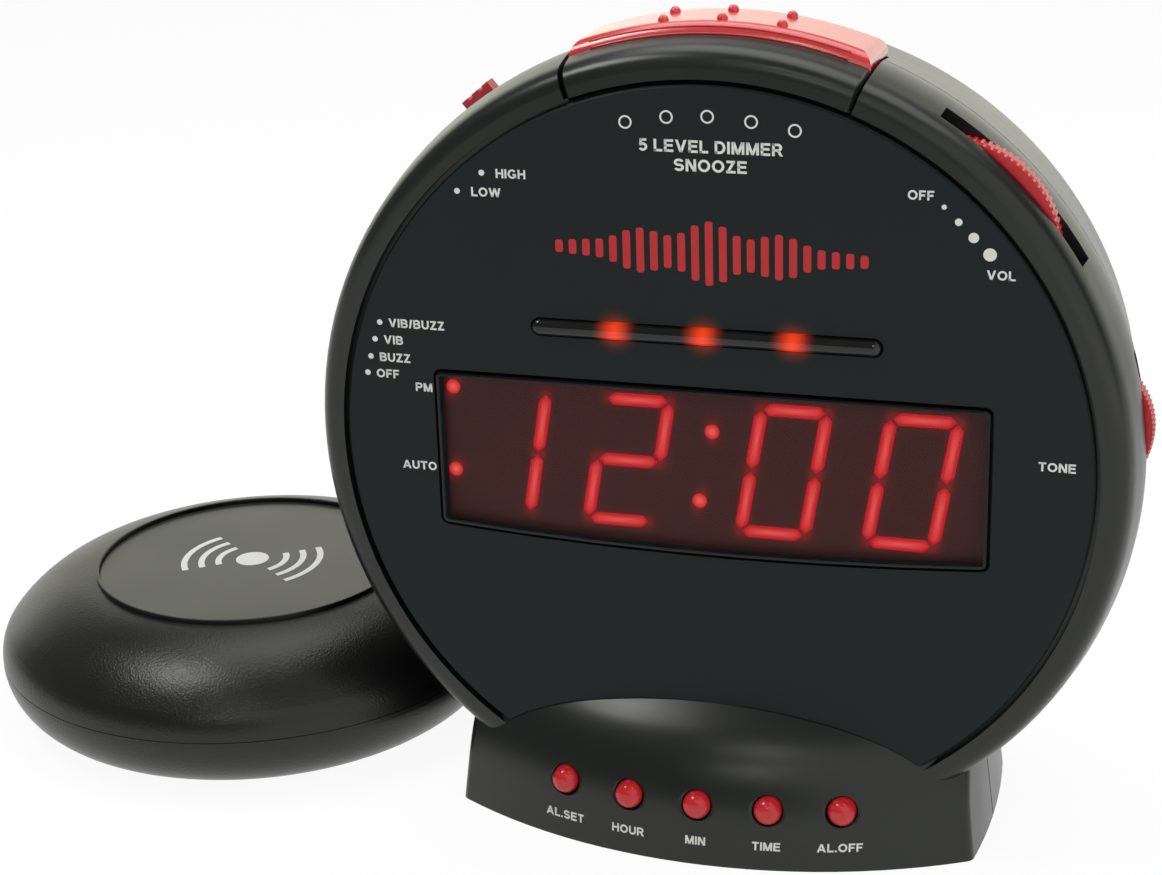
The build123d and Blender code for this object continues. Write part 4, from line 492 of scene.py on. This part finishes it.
# Making pieces
def piece(name, bm, body, slot, material, *stands_for):
    """A finished mesh as a piece that rides on a body."""
    mesh = bpy.data.meshes.new(name)
    bm.to_mesh(mesh)
    bm.free()
    mesh.materials.append(material)
    made = bpy.data.objects.new(name, mesh)
    bpy.context.scene.collection.objects.link(made)
    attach(made, body)
    if stands_for:
        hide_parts(*stands_for)
    return made


def join(whole, part, place):
    """Adds one drawing to a bmesh, moved to its place."""
    bmesh.ops.transform(part, matrix=place, verts=part.verts[:])
    mesh = bpy.data.meshes.new("joined")
    part.to_mesh(mesh)
    part.free()
    whole.from_mesh(mesh)
    bpy.data.meshes.remove(mesh)


def thicken(bm, layer):
    """Gives a flat drawing a thickness along +Z."""
    grown = bmesh.ops.extrude_face_region(bm, geom=bm.faces[:])
    raised = [item for item in grown["geom"] if isinstance(item, bmesh.types.BMVert)]
    bmesh.ops.translate(bm, verts=raised, vec=(0.0, 0.0, layer))
    bmesh.ops.recalc_face_normals(bm, faces=bm.faces[:])


def printed_ring(radius, line):
    """A thin printed circle."""
    bm = bmesh.new()
    bmesh.ops.create_circle(bm, cap_ends=True, segments=RING_SIDES, radius=radius)
    disc = bm.faces[:]
    bmesh.ops.inset_individual(bm, faces=disc, thickness=line)
    bmesh.ops.delete(bm, geom=disc, context="FACES")
    thicken(bm, PRINT_LAYER)
    return bm


def printed_dot(radius):
    """A filled printed dot."""
    bm = bmesh.new()
    bmesh.ops.create_circle(bm, cap_ends=True, segments=DOT_SIDES, radius=radius)
    thicken(bm, PRINT_LAYER)
    return bm


def printed_bar(width, height):
    """A printed upright bar with rounded corners."""
    bm = bmesh.new()
    bmesh.ops.create_grid(bm, x_segments=1, y_segments=1, size=0.5)
    bmesh.ops.scale(bm, verts=bm.verts[:], vec=(width, height, 1.0))
    bmesh.ops.bevel(
        bm, geom=bm.verts[:], offset=width * BAR_CORNER_SHARE, affect="VERTICES",
        segments=3, profile=0.5, material=-1,
    )
    thicken(bm, PRINT_LAYER)
    return bm


# Bold capitals, drawn as strokes in parts of a letter's height. Four numbers are a straight stroke from
# end to end; six are a bent one: its middle, its two radii and the angles where it starts and ends.
LETTER_WEIGHT = 0.2
LETTER_GAP = 0.14
LETTER_STEPS = 14
STEM = (0.0925, 0.0, 0.0925, 1.0)
TOP_BOWL = ((0.0, 0.9075, 0.43, 0.9075), (0.0, 0.46, 0.43, 0.46), (0.43, 0.6838, 0.21, 0.2238, -90, 90))
LETTERS = {
    " ": (0.22, ()),
    ".": (0.2, ((0.1, 0.0, 0.1, 0.2),)),
    "/": (0.34, ((0.08, 0.0, 0.26, 1.0),)),
    "5": (0.66, (
        (0.12, 0.9075, 0.6, 0.9075), (0.145, 0.44, 0.19, 1.0), (0.32, 0.335, 0.245, 0.2425, -150, 150),
    )),
    "A": (0.92, ((0.105, 0.0, 0.46, 1.0), (0.815, 0.0, 0.46, 1.0), (0.2, 0.3, 0.72, 0.3))),
    "B": (0.76, (
        STEM, (0.0, 0.9075, 0.42, 0.9075), (0.0, 0.52, 0.44, 0.52), (0.0, 0.0925, 0.44, 0.0925),
        (0.42, 0.7138, 0.205, 0.1938, -90, 90), (0.44, 0.3063, 0.225, 0.2138, -90, 90),
    )),
    "D": (0.8, (
        STEM, (0.0, 0.9075, 0.36, 0.9075), (0.0, 0.0925, 0.36, 0.0925), (0.36, 0.5, 0.345, 0.4075, -90, 90),
    )),
    "E": (0.7, (STEM, (0.0, 0.9075, 0.7, 0.9075), (0.0, 0.52, 0.65, 0.52), (0.0, 0.0925, 0.7, 0.0925))),
    "F": (0.64, (STEM, (0.0, 0.9075, 0.64, 0.9075), (0.0, 0.49, 0.57, 0.49))),
    "G": (0.9, (
        (0.46, 0.5, 0.365, 0.4075, 40, 322), (0.5, 0.43, 0.86, 0.43), (0.77, 0.12, 0.77, 0.43),
    )),
    "H": (0.78, (STEM, (0.6875, 0.0, 0.6875, 1.0), (0.0925, 0.52, 0.6875, 0.52))),
    "I": (0.185, (STEM,)),
    "L": (0.64, (STEM, (0.0, 0.0925, 0.64, 0.0925))),
    "M": (0.94, (STEM, (0.8475, 0.0, 0.8475, 1.0), (0.13, 1.0, 0.47, 0.0), (0.47, 0.0, 0.81, 1.0))),
    "N": (0.78, (STEM, (0.6875, 0.0, 0.6875, 1.0), (0.12, 1.0, 0.66, 0.0))),
    "O": (0.92, ((0.46, 0.5, 0.3675, 0.4075, 0, 360),)),
    "P": (0.73, (STEM, *TOP_BOWL)),
    "R": (0.8, (STEM, *TOP_BOWL, (0.44, 0.46, 0.68, 0.0))),
    "S": (0.76, ((0.375, 0.7, 0.275, 0.2075, 20, 270), (0.385, 0.3, 0.2825, 0.2075, -160, 90))),
    "T": (0.72, ((0.0, 0.9075, 0.72, 0.9075), (0.36, 0.0, 0.36, 1.0))),
    "U": (0.78, (
        (0.0925, 0.38, 0.0925, 1.0), (0.6875, 0.38, 0.6875, 1.0), (0.39, 0.38, 0.2975, 0.2875, 180, 360),
    )),
    "V": (0.86, ((0.105, 1.0, 0.43, 0.0), (0.755, 1.0, 0.43, 0.0))),
    "W": (1.24, (
        (0.1, 1.0, 0.35, 0.0), (0.35, 0.0, 0.62, 1.0), (0.62, 1.0, 0.89, 0.0), (0.89, 0.0, 1.14, 1.0),
    )),
    "Z": (0.7, ((0.03, 0.9075, 0.67, 0.9075), (0.13, 0.1, 0.57, 0.9), (0.0, 0.0925, 0.7, 0.0925))),
}


def straight_stroke(bm, left, x0, z0, x1, z1):
    """A straight stroke of a letter. A level one has upright ends, any other has level ends."""
    across, along = Vector((0.0, LETTER_WEIGHT)), Vector((x1 - x0, z1 - z0))
    if z0 != z1:
        across = Vector((LETTER_WEIGHT * along.length / abs(along.y), 0.0))
    place = Matrix.Identity(4)
    place.col[0][:2], place.col[1][:2] = across, along
    place.translation = (left + (x0 + x1) / 2, (z0 + z1) / 2, 0.0)
    bmesh.ops.create_grid(bm, x_segments=1, y_segments=1, size=0.5, matrix=place)


def bent_stroke(bm, left, x, z, wide, tall, start, end):
    """A stroke of a letter along part of an ellipse."""
    arc = bmesh.new()
    inner, outer = arc.verts.new((1.0, 0.0, 0.0)), arc.verts.new((2.0, 0.0, 0.0))
    edge = arc.edges.new((inner, outer))
    bmesh.ops.spin(
        arc, geom=[inner, outer, edge], cent=(0, 0, 0), axis=(0, 0, 1), angle=radians(end - start),
        steps=LETTER_STEPS, use_merge=end - start == 360,
    )
    turn = Matrix.Rotation(radians(start), 3, "Z")
    for v in arc.verts:
        way = turn @ v.co.normalized()
        grow = LETTER_WEIGHT * (v.co.length - 1.5)
        v.co = (left + x + (wide + grow) * way.x, z + (tall + grow) * way.y, 0.0)
    join(bm, arc, Matrix.Identity(4))


def printed_words(words, height, stretch=1.08):
    """Words in bold capitals, from their left end, centred in height."""
    bm = bmesh.new()
    left = 0.0
    for letter in words:
        wide, strokes = LETTERS[letter]
        for stroke in strokes:
            draw = straight_stroke if len(stroke) == 4 else bent_stroke
            draw(bm, left, *stroke)
        left += wide + LETTER_GAP
    bmesh.ops.translate(bm, verts=bm.verts[:], vec=(0.0, -0.5, 0.0))
    bmesh.ops.scale(bm, verts=bm.verts[:], vec=(height * stretch, height, 1.0))
    thicken(bm, PRINT_LAYER)
    return bm


def width_of(bm):
    """How wide a drawing is."""
    return max(v.co.x for v in bm.verts) - min(v.co.x for v in bm.verts)


def on_face(x, z, turn=0.0):
    """The place of a drawing on the face, in millimetres from the face's middle."""
    place = Matrix.Translation((x * MM, FACE_Y + PRINT_SINK, FACE_Z + z * MM))
    upright = Matrix.Rotation(radians(90), 4, "X")
    return place @ upright @ Matrix.Rotation(radians(turn), 4, "Z")


# Prints on the face, in millimetres from its middle
WORD_HEIGHT = 1.6
TITLE_HEIGHT = 2.1
DOT_RADIUS = 0.52 * MM
LEVEL_MARKS = ((-38.7, 50.2, "HIGH"), (-43.3, 46.8, "LOW"))
MODE_MARKS = ((-59.2, 22.1, "VIB/BUZZ"), (-60.3, 18.9, "VIB"), (-61.3, 15.6, "BUZZ"), (-62.1, 12.5, "OFF"))
DIMMER_RINGS = ((-12.9, 60.0), (-5.8, 61.1), (1.2, 61.4), (8.6, 60.8), (15.9, 59.6))
VOLUME_DOTS = ((40.5, 48.0, 0.42), (42.9, 45.6, 0.62), (45.4, 43.1, 0.86), (48.1, 40.4, 1.1))
SIGN_WORDS = ((-49.9, 10.4, "PM"), (-49.9, -4.6, "AUTO"))
TITLES = ((1.6, 56.3, "5 LEVEL DIMMER"), (1.6, 53.1, "SNOOZE"))
WHEEL_WORDS = ((36.7, 49.8, "OFF"), (50.0, 37.0, "VOL"), (60.2, 4.4, "TONE"))
LEVEL_WORD_GAP = 2.6
MODE_WORD_GAP = 1.7
RING_RADIUS = 1.15 * MM
RING_LINE = 0.3 * MM


def marked_positions(bm, marks, gap):
    """A dot for each position of a slide switch, with its word to the right."""
    for x, z, words in marks:
        join(bm, printed_dot(DOT_RADIUS), on_face(x, z))
        join(bm, printed_words(words, WORD_HEIGHT * MM), on_face(x + gap, z))


def centred_words(bm, words, height, x, z):
    """Words centred on a point of the face."""
    drawn = printed_words(words, height * MM)
    join(bm, drawn, on_face(x - width_of(drawn) / MM / 2, z))


def face_prints():
    """All white marks on the face: switch positions, dimmer levels, volume and tone."""
    bm = bmesh.new()
    marked_positions(bm, LEVEL_MARKS, LEVEL_WORD_GAP)
    marked_positions(bm, MODE_MARKS, MODE_WORD_GAP)
    for x, z in DIMMER_RINGS:
        join(bm, printed_ring(RING_RADIUS, RING_LINE), on_face(x, z))
    for x, z, words in TITLES:
        centred_words(bm, words, TITLE_HEIGHT, x, z)
    for x, z, words in WHEEL_WORDS:
        centred_words(bm, words, WORD_HEIGHT, x, z)
    for x, z, radius in VOLUME_DOTS:
        join(bm, printed_dot(radius * MM), on_face(x, z))
    for right, z, words in SIGN_WORDS:
        drawn = printed_words(words, WORD_HEIGHT * MM)
        join(bm, drawn, on_face(right - width_of(drawn) / MM, z))
    return piece("face_prints", bm, "clock", "face", WHITE_INK)


BARS = 23
BAR_PITCH = 2.4
BAR_WIDTH = 1.35
BARS_PLACE = (1.2, 38.0)
BAR_SHORTEST = 2.2
BAR_SWELL = 9.0
SWELL_SHARPNESS = 1.5
RIPPLE = 0.28
RIPPLES = 4


def sound_bars():
    """A row of red bars that swells towards the middle, like a sound level."""
    bm = bmesh.new()
    for index in range(BARS):
        share = 2 * index / (BARS - 1) - 1
        swell = cos(share * pi / 2) ** SWELL_SHARPNESS
        ripple = 1 - RIPPLE + RIPPLE * cos(share * RIPPLES * pi)
        height = BAR_SHORTEST + BAR_SWELL * swell * ripple
        x = BARS_PLACE[0] + (index - (BARS - 1) / 2) * BAR_PITCH
        join(bm, printed_bar(BAR_WIDTH * MM, height * MM), on_face(x, BARS_PLACE[1]))
    return piece("sound_bars", bm, "clock", "face", RED_INK)


BUTTON_WORDS = (
    ("alarm_set_button", "AL.SET"),
    ("hour_button", "HOUR"),
    ("minute_button", "MIN"),
    ("time_button", "TIME"),
    ("alarm_off_button", "AL.OFF"),
)
BUTTON_WORDS_Z = 4.5 * MM
BUTTON_WORDS_HEIGHT = 1.55 * MM


def foot_front(x, z):
    """The depth of the foot's front at a place across it and a height."""
    return FOOT_AXIS_Y - sqrt((FOOT_ROUND - FOOT_LEAN * z) ** 2 - x * x)


def button_words():
    """The buttons' names, under each button and bent on to the round front of the foot."""
    bm = bmesh.new()
    upright = Matrix.Rotation(radians(90), 4, "X")
    for node, words in BUTTON_WORDS:
        low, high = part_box(node)
        drawn = printed_words(words, BUTTON_WORDS_HEIGHT)
        x = (low.x + high.x - width_of(drawn)) / 2
        join(bm, drawn, Matrix.Translation((x, 0.0, BUTTON_WORDS_Z)) @ upright)
    for v in bm.verts:
        v.co.y += foot_front(v.co.x, v.co.z) + PRINT_SINK
    return piece("button_words", bm, "clock", "case", WHITE_INK)


# Display
MERGE_DISTANCE = 1e-6
FLAT_ANGLE = 1.0
FACING = 0.9
STROKE_EDGE = 0.3 * MM
DOT_EDGE = 0.26 * MM
CORE_SHARES = (0.0, 0.3)


def solid_copy(node):
    """A copy of a solid's mesh with its triangles joined into whole faces."""
    bm = bmesh.new()
    bm.from_mesh(NODES[node].data)
    bmesh.ops.remove_doubles(bm, verts=bm.verts[:], dist=MERGE_DISTANCE)
    bmesh.ops.dissolve_limit(bm, angle_limit=radians(FLAT_ANGLE), verts=bm.verts[:], edges=bm.edges[:])
    return bm


def facing(bm, sign):
    """The faces of a display piece that look forward (-1) or back (1)."""
    return [face for face in bm.faces if face.normal.y * sign > FACING]


def tips(face):
    """The two corners of a stroke that are furthest apart."""
    corners = [v.co.copy() for v in face.verts]
    pairs = [(a, b) for a in corners for b in corners]
    return max(pairs, key=lambda pair: (pair[0] - pair[1]).length)


def lit_piece(name, node, slot, material, edge_width):
    """The lit strokes or dots of a node, just in front of the film and paler along the middle."""
    bm = solid_copy(node)
    core = bm.verts.layers.float.new("core")
    fronts = facing(bm, -1)
    middles = []
    for face in fronts:
        a, b = tips(face)
        middles.append((a, b))
        for v in face.verts:
            v.co.y = SEGMENT_FRONT
    for face in facing(bm, 1):
        for v in face.verts:
            v.co.y = MODULE_FRONT
    for share in CORE_SHARES:
        bmesh.ops.inset_individual(bm, faces=fronts, thickness=edge_width, use_even_offset=True)
        for face in fronts:
            for v in face.verts:
                v[core] = share
    middle = bmesh.ops.poke(bm, faces=fronts)
    for v in middle["verts"]:
        v[core] = 1.0
    piece(name, bm, "clock", slot, material, node)
    return middles


def distance_to(point, a, b):
    """How far a point is from the line between two ends, across the face."""
    run = Vector((b.x - a.x, b.z - a.z))
    to_point = Vector((point.x - a.x, point.z - a.z))
    share = to_point.dot(run) / run.length_squared if run.length_squared else 0.0
    return (to_point - run * min(max(share, 0.0), 1.0)).length


def glow_film(strokes):
    """The film in front of the display module, with the glow round each lit stroke."""
    top = lens_high.z - FILM_MARGIN
    bottom = lens_low.z + FILM_MARGIN
    columns = int(2 * FILM_HALF_WIDTH / FILM_STEP)
    rows = int((top - bottom) / FILM_STEP)
    bm = bmesh.new()
    bmesh.ops.create_grid(bm, x_segments=columns, y_segments=rows, size=0.5)
    bmesh.ops.rotate(bm, verts=bm.verts[:], cent=(0, 0, 0), matrix=Matrix.Rotation(radians(90), 3, "X"))
    glow = bm.verts.layers.float.new("glow")
    for v in bm.verts:
        across, up = 2 * v.co.x, v.co.z + 0.5
        floor = bottom + WINDOW_BOW * across * across
        v.co = (across * FILM_HALF_WIDTH, FILM_FRONT, floor + (top - floor) * up)
        total = sum(exp(-(distance_to(v.co, a, b) / GLOW_SPREAD) ** 2) for a, b in strokes)
        v[glow] = GLOW_STRENGTH * min(total, 1.0)
    back = bmesh.ops.extrude_face_region(bm, geom=bm.faces[:])
    behind = [item for item in back["geom"] if isinstance(item, bmesh.types.BMVert)]
    bmesh.ops.translate(bm, verts=behind, vec=(0.0, FILM_BACK - FILM_FRONT, 0.0))
    bmesh.ops.recalc_face_normals(bm, faces=bm.faces[:])
    return piece("display_film", bm, "clock", "display_black", FILM)


def window_lens():
    """The smoked window, with a fine bevel round its front."""
    bm = solid_copy("display_lens")
    for face in facing(bm, 1):
        for v in face.verts:
            v.co.y = LENS_BACK
    for face in facing(bm, -1):
        for v in face.verts:
            v.co.y = LENS_FRONT
    rim = [edge for face in facing(bm, -1) for edge in face.edges]
    bmesh.ops.bevel(
        bm, geom=rim, offset=LENS_BEVEL, affect="EDGES", segments=2, profile=0.5, material=-1,
    )
    clear = max(facing(bm, -1), key=lambda face: face.calc_area())
    bmesh.ops.inset_individual(bm, faces=[clear], thickness=LENS_BORDER, use_even_offset=True)
    for face in bm.faces:
        face.material_index = 0 if face is clear or face.normal.y > FACING else 1
    made = piece("window_lens", bm, "clock", "smoked_lens", SMOKED, "display_lens")
    made.data.materials.append(BLACK_GLOSS)
    return made


def window_mask():
    """The black border behind the edge of the window."""
    bm = solid_copy("display_lens")
    backs = facing(bm, 1)
    others = [face for face in bm.faces if face not in backs]
    bmesh.ops.delete(bm, geom=others, context="FACES")
    middle = bm.faces[:]
    bmesh.ops.inset_individual(bm, faces=middle, thickness=FILM_MARGIN, use_even_offset=True)
    bmesh.ops.delete(bm, geom=middle, context="FACES")
    for v in bm.verts:
        v.co.y = MASK_BACK
    grown = bmesh.ops.extrude_face_region(bm, geom=bm.faces[:])
    raised = [item for item in grown["geom"] if isinstance(item, bmesh.types.BMVert)]
    bmesh.ops.translate(bm, verts=raised, vec=(0.0, -MASK_LAYER, 0.0))
    bmesh.ops.recalc_face_normals(bm, faces=bm.faces[:])
    return piece("window_mask", bm, "clock", "display_black", BLACK_MASK)


def display():
    """Everything behind the window: lit strokes, dots, film, mask and the window itself."""
    strokes = lit_piece("lit_digits", "lit_segments", "glow_red", STROKES, STROKE_EDGE)
    dots = lit_piece("lit_dots", "display_dots", "glow_dot", DOTS, DOT_EDGE)
    glow_film(strokes + dots)
    window_mask()
    window_lens()


# Fine lines along the front of the snooze bar, on its rounded edge
SNOOZE_ROUND = 3.0 * MM
SNOOZE_END_MARGIN = 2.6
SNOOZE_TILT = -0.75
SNOOZE_TOP = 75.3 * MM
LINE_ANGLES = (24.0, 50.0)
LINE_RADIUS = 0.2 * MM
LINE_STEPS = 56
LINE_SIDES = 10


def snooze_lines():
    """Two fine ribs round the crown, each a thin bead swept along the bar's front edge."""
    bm = bmesh.new()
    half = asin((snooze_high.x - snooze_low.x) / 2 / SNOOZE_TOP) - radians(SNOOZE_END_MARGIN)
    for angle in LINE_ANGLES:
        rib = bmesh.new()
        up = SNOOZE_TOP - SNOOZE_ROUND + SNOOZE_ROUND * sin(radians(angle))
        depth = snooze_low.y + SNOOZE_ROUND - SNOOZE_ROUND * cos(radians(angle))
        upright = Matrix.Rotation(radians(90), 4, "Y")
        start = Matrix.Rotation(-half - radians(SNOOZE_TILT), 4, "Y")
        out = Matrix.Translation((0.0, depth, up))
        place = Matrix.Translation((0.0, 0.0, FACE_Z)) @ start @ out @ upright
        bmesh.ops.create_circle(rib, cap_ends=False, segments=LINE_SIDES, radius=LINE_RADIUS, matrix=place)
        bmesh.ops.spin(
            rib, geom=rib.verts[:] + rib.edges[:], cent=(0.0, 0.0, FACE_Z), axis=(0.0, 1.0, 0.0),
            angle=2 * half, steps=LINE_STEPS,
        )
        bmesh.ops.holes_fill(rib, edges=[edge for edge in rib.edges if edge.is_boundary])
        bmesh.ops.recalc_face_normals(rib, faces=rib.faces[:])
        join(bm, rib, Matrix.Identity(4))
    for face in bm.faces:
        face.smooth = True
    return piece("snooze_lines", bm, "snooze", "red", SNOOZE_RED)


# Shaker label
WAVE_RADII = (7.0 * MM, 10.5 * MM, 14.0 * MM)
WAVE_LINE = 1.3 * MM
WAVE_HALF_ANGLE = 38.0
WAVE_DOT = 3.4 * MM
WAVE_STEPS = 20


def printed_arc(radius, line, middle_angle):
    """A printed arc about the drawing's middle."""
    bm = bmesh.new()
    start = Matrix.Rotation(radians(middle_angle - WAVE_HALF_ANGLE), 4, "Z")
    inner = bm.verts.new(start @ Vector((radius - line / 2, 0.0, 0.0)))
    outer = bm.verts.new(start @ Vector((radius + line / 2, 0.0, 0.0)))
    edge = bm.edges.new((inner, outer))
    bmesh.ops.spin(
        bm, geom=[inner, outer, edge], cent=(0, 0, 0), axis=(0, 0, 1),
        angle=radians(2 * WAVE_HALF_ANGLE), steps=WAVE_STEPS,
    )
    thicken(bm, PRINT_LAYER)
    return bm


def label_prints():
    """Plain arcs either side of a dot on the shaker's label, for its shaking."""
    bm = bmesh.new()
    place = Matrix.Translation((LABEL_CENTRE.x, LABEL_CENTRE.y, label_high.z - PRINT_SINK))
    join(bm, printed_dot(WAVE_DOT), place)
    for radius in WAVE_RADII:
        for middle_angle in (0.0, 180.0):
            join(bm, printed_arc(radius, WAVE_LINE, middle_angle), place)
    return piece("label_prints", bm, "shaker", "label", WHITE_INK)


# Stage, light and camera
FLOOR_SIZE = 6.0
BACKDROP_Y = 1.3
BACKDROP_HEIGHT = 1.0
BACKGROUND_SHARE = 0.9
AMBIENT = 0.25
FLOOR_WHITE = (1.03, 1.03, 1.03, 1.0)
BACKDROP_WHITE = (1.42, 1.42, 1.24, 1.0)
MATTE_WHITE = (0.9, 0.9, 0.9, 1.0)
WHITE_TO = ("Is Camera Ray", "Is Glossy Ray", "Is Transmission Ray")


def white_stage(name, colour):
    """A matte white material that shows as plain white, but still keeps some shadow."""
    material = bpy.data.materials.new(name)
    material.use_nodes = True
    tree = material.node_tree
    tree.nodes.clear()
    matte = tree.nodes.new("ShaderNodeBsdfDiffuse")
    matte.inputs["Color"].default_value = MATTE_WHITE
    white = tree.nodes.new("ShaderNodeEmission")
    white.inputs["Color"].default_value = colour
    white.inputs["Strength"].default_value = 1.0
    path = tree.nodes.new("ShaderNodeLightPath")
    seen = 0.0
    for kind in WHITE_TO:
        seen = maths(tree, "MAXIMUM", seen, path.outputs[kind])
    both = tree.nodes.new("ShaderNodeMixShader")
    tree.links.new(maths(tree, "MULTIPLY", seen, BACKGROUND_SHARE), both.inputs["Fac"])
    tree.links.new(matte.outputs["BSDF"], both.inputs[1])
    tree.links.new(white.outputs["Emission"], both.inputs[2])
    output = tree.nodes.new("ShaderNodeOutputMaterial")
    tree.links.new(both.outputs["Shader"], output.inputs["Surface"])
    return material


def stage_sheet(name, colour, place):
    """A large flat sheet of the stage."""
    bm = bmesh.new()
    bmesh.ops.create_grid(bm, x_segments=4, y_segments=4, size=0.5, matrix=place)
    mesh = bpy.data.meshes.new(name)
    bm.to_mesh(mesh)
    bm.free()
    mesh.materials.append(white_stage(name, colour))
    made = bpy.data.objects.new(name, mesh)
    bpy.context.scene.collection.objects.link(made)


def stage():
    """A white floor and a white backdrop behind the object."""
    stage_sheet("floor", FLOOR_WHITE, Matrix.Diagonal((FLOOR_SIZE, FLOOR_SIZE, 1.0, 1.0)))
    upright = Matrix.Rotation(radians(90), 4, "X")
    place = Matrix.Translation((0.0, BACKDROP_Y, BACKDROP_HEIGHT / 2))
    sheet = place @ upright @ Matrix.Diagonal((FLOOR_SIZE, BACKDROP_HEIGHT, 1.0, 1.0))
    stage_sheet("backdrop", BACKDROP_WHITE, sheet)


def surroundings():
    """A dim even room that the camera sees as white."""
    world = bpy.data.worlds.new("studio")
    bpy.context.scene.world = world
    world.use_nodes = True
    tree = world.node_tree
    background = next(node for node in tree.nodes if node.type == "BACKGROUND")
    background.inputs["Color"].default_value = (1.0, 1.0, 1.0, 1.0)
    path = tree.nodes.new("ShaderNodeLightPath")
    lift = maths(tree, "MULTIPLY", path.outputs["Is Camera Ray"], 1.0 - AMBIENT)
    tree.links.new(maths(tree, "ADD", lift, AMBIENT), background.inputs["Strength"])


def soft_box(name, place, aim, wide, tall, power):
    """A studio lamp with a flat front, aimed at a point."""
    light = bpy.data.lights.new(name, "AREA")
    light.shape = "RECTANGLE"
    light.size = wide
    light.size_y = tall
    light.energy = power
    made = bpy.data.objects.new(name, light)
    bpy.context.scene.collection.objects.link(made)
    made.location = place
    made.rotation_mode = "QUATERNION"
    made.rotation_quaternion = (Vector(aim) - Vector(place)).to_track_quat("-Z", "Y")


# Each studio lamp: name, place, aim, width, height and power
OBJECT_AIM = (-0.03, 0.0, 0.06)
SHAKER_AIM = (-0.107, 0.0, 0.02)
RIGHT_AIM = (0.04, 0.0, 0.06)
LIGHTS = (
    ("top_light", (0.05, 0.26, 0.85), OBJECT_AIM, 1.0, 0.5, 3.8),
    ("left_top_light", (-0.3, -0.09, 0.56), SHAKER_AIM, 0.2, 0.16, 1.0),
    ("front_strip_low", (0.0, -0.85, 0.58), OBJECT_AIM, 0.14, 0.05, 0.4),
    ("front_strip_high", (0.0, -0.66, 0.86), OBJECT_AIM, 0.14, 0.05, 0.4),
    ("right_light", (0.42, -0.34, 0.26), RIGHT_AIM, 0.8, 0.8, 1.5),
)


def lights():
    """Every lamp of the studio."""
    for lamp in LIGHTS:
        soft_box(*lamp)


# The photo's viewpoint, as fitted to the rim of the face
PHOTO_WIDTH_PX = 1162
FOCAL_PX = 2375.0
SENSOR_WIDTH = 36.0
VIEW_AZIMUTH = 17.80
VIEW_ELEVATION = 20.61
VIEW_ROLL = -1.95
VIEW_TARGET = Vector((-22.445, 0.0, 75.149)) * MM
VIEW_DISTANCE = 417.6 * MM
CLIP_START = 0.01


def camera():
    """The photo's viewpoint."""
    azimuth, elevation, roll = (radians(a) for a in (VIEW_AZIMUTH, VIEW_ELEVATION, VIEW_ROLL))
    back = Vector((sin(azimuth) * cos(elevation), -cos(azimuth) * cos(elevation), sin(elevation)))
    level = Vector((0, 0, 1)).cross(back).normalized()
    upward = back.cross(level)
    right = level * cos(roll) + upward * sin(roll)
    up = upward * cos(roll) - level * sin(roll)
    data = bpy.data.cameras.new("camera")
    data.sensor_width = SENSOR_WIDTH
    data.lens = SENSOR_WIDTH * FOCAL_PX / PHOTO_WIDTH_PX
    data.clip_start = CLIP_START
    made = bpy.data.objects.new("camera", data)
    bpy.context.scene.collection.objects.link(made)
    turned = Matrix((right, up, back)).transposed().to_4x4()
    made.matrix_world = Matrix.Translation(VIEW_TARGET + back * VIEW_DISTANCE) @ turned
    bpy.context.scene.camera = made


dress_solids()
face_prints()
sound_bars()
button_words()
snooze_lines()
display()
label_prints()
stage()
surroundings()
lights()
camera()

bpy.context.scene.view_settings.view_transform = "Standard"
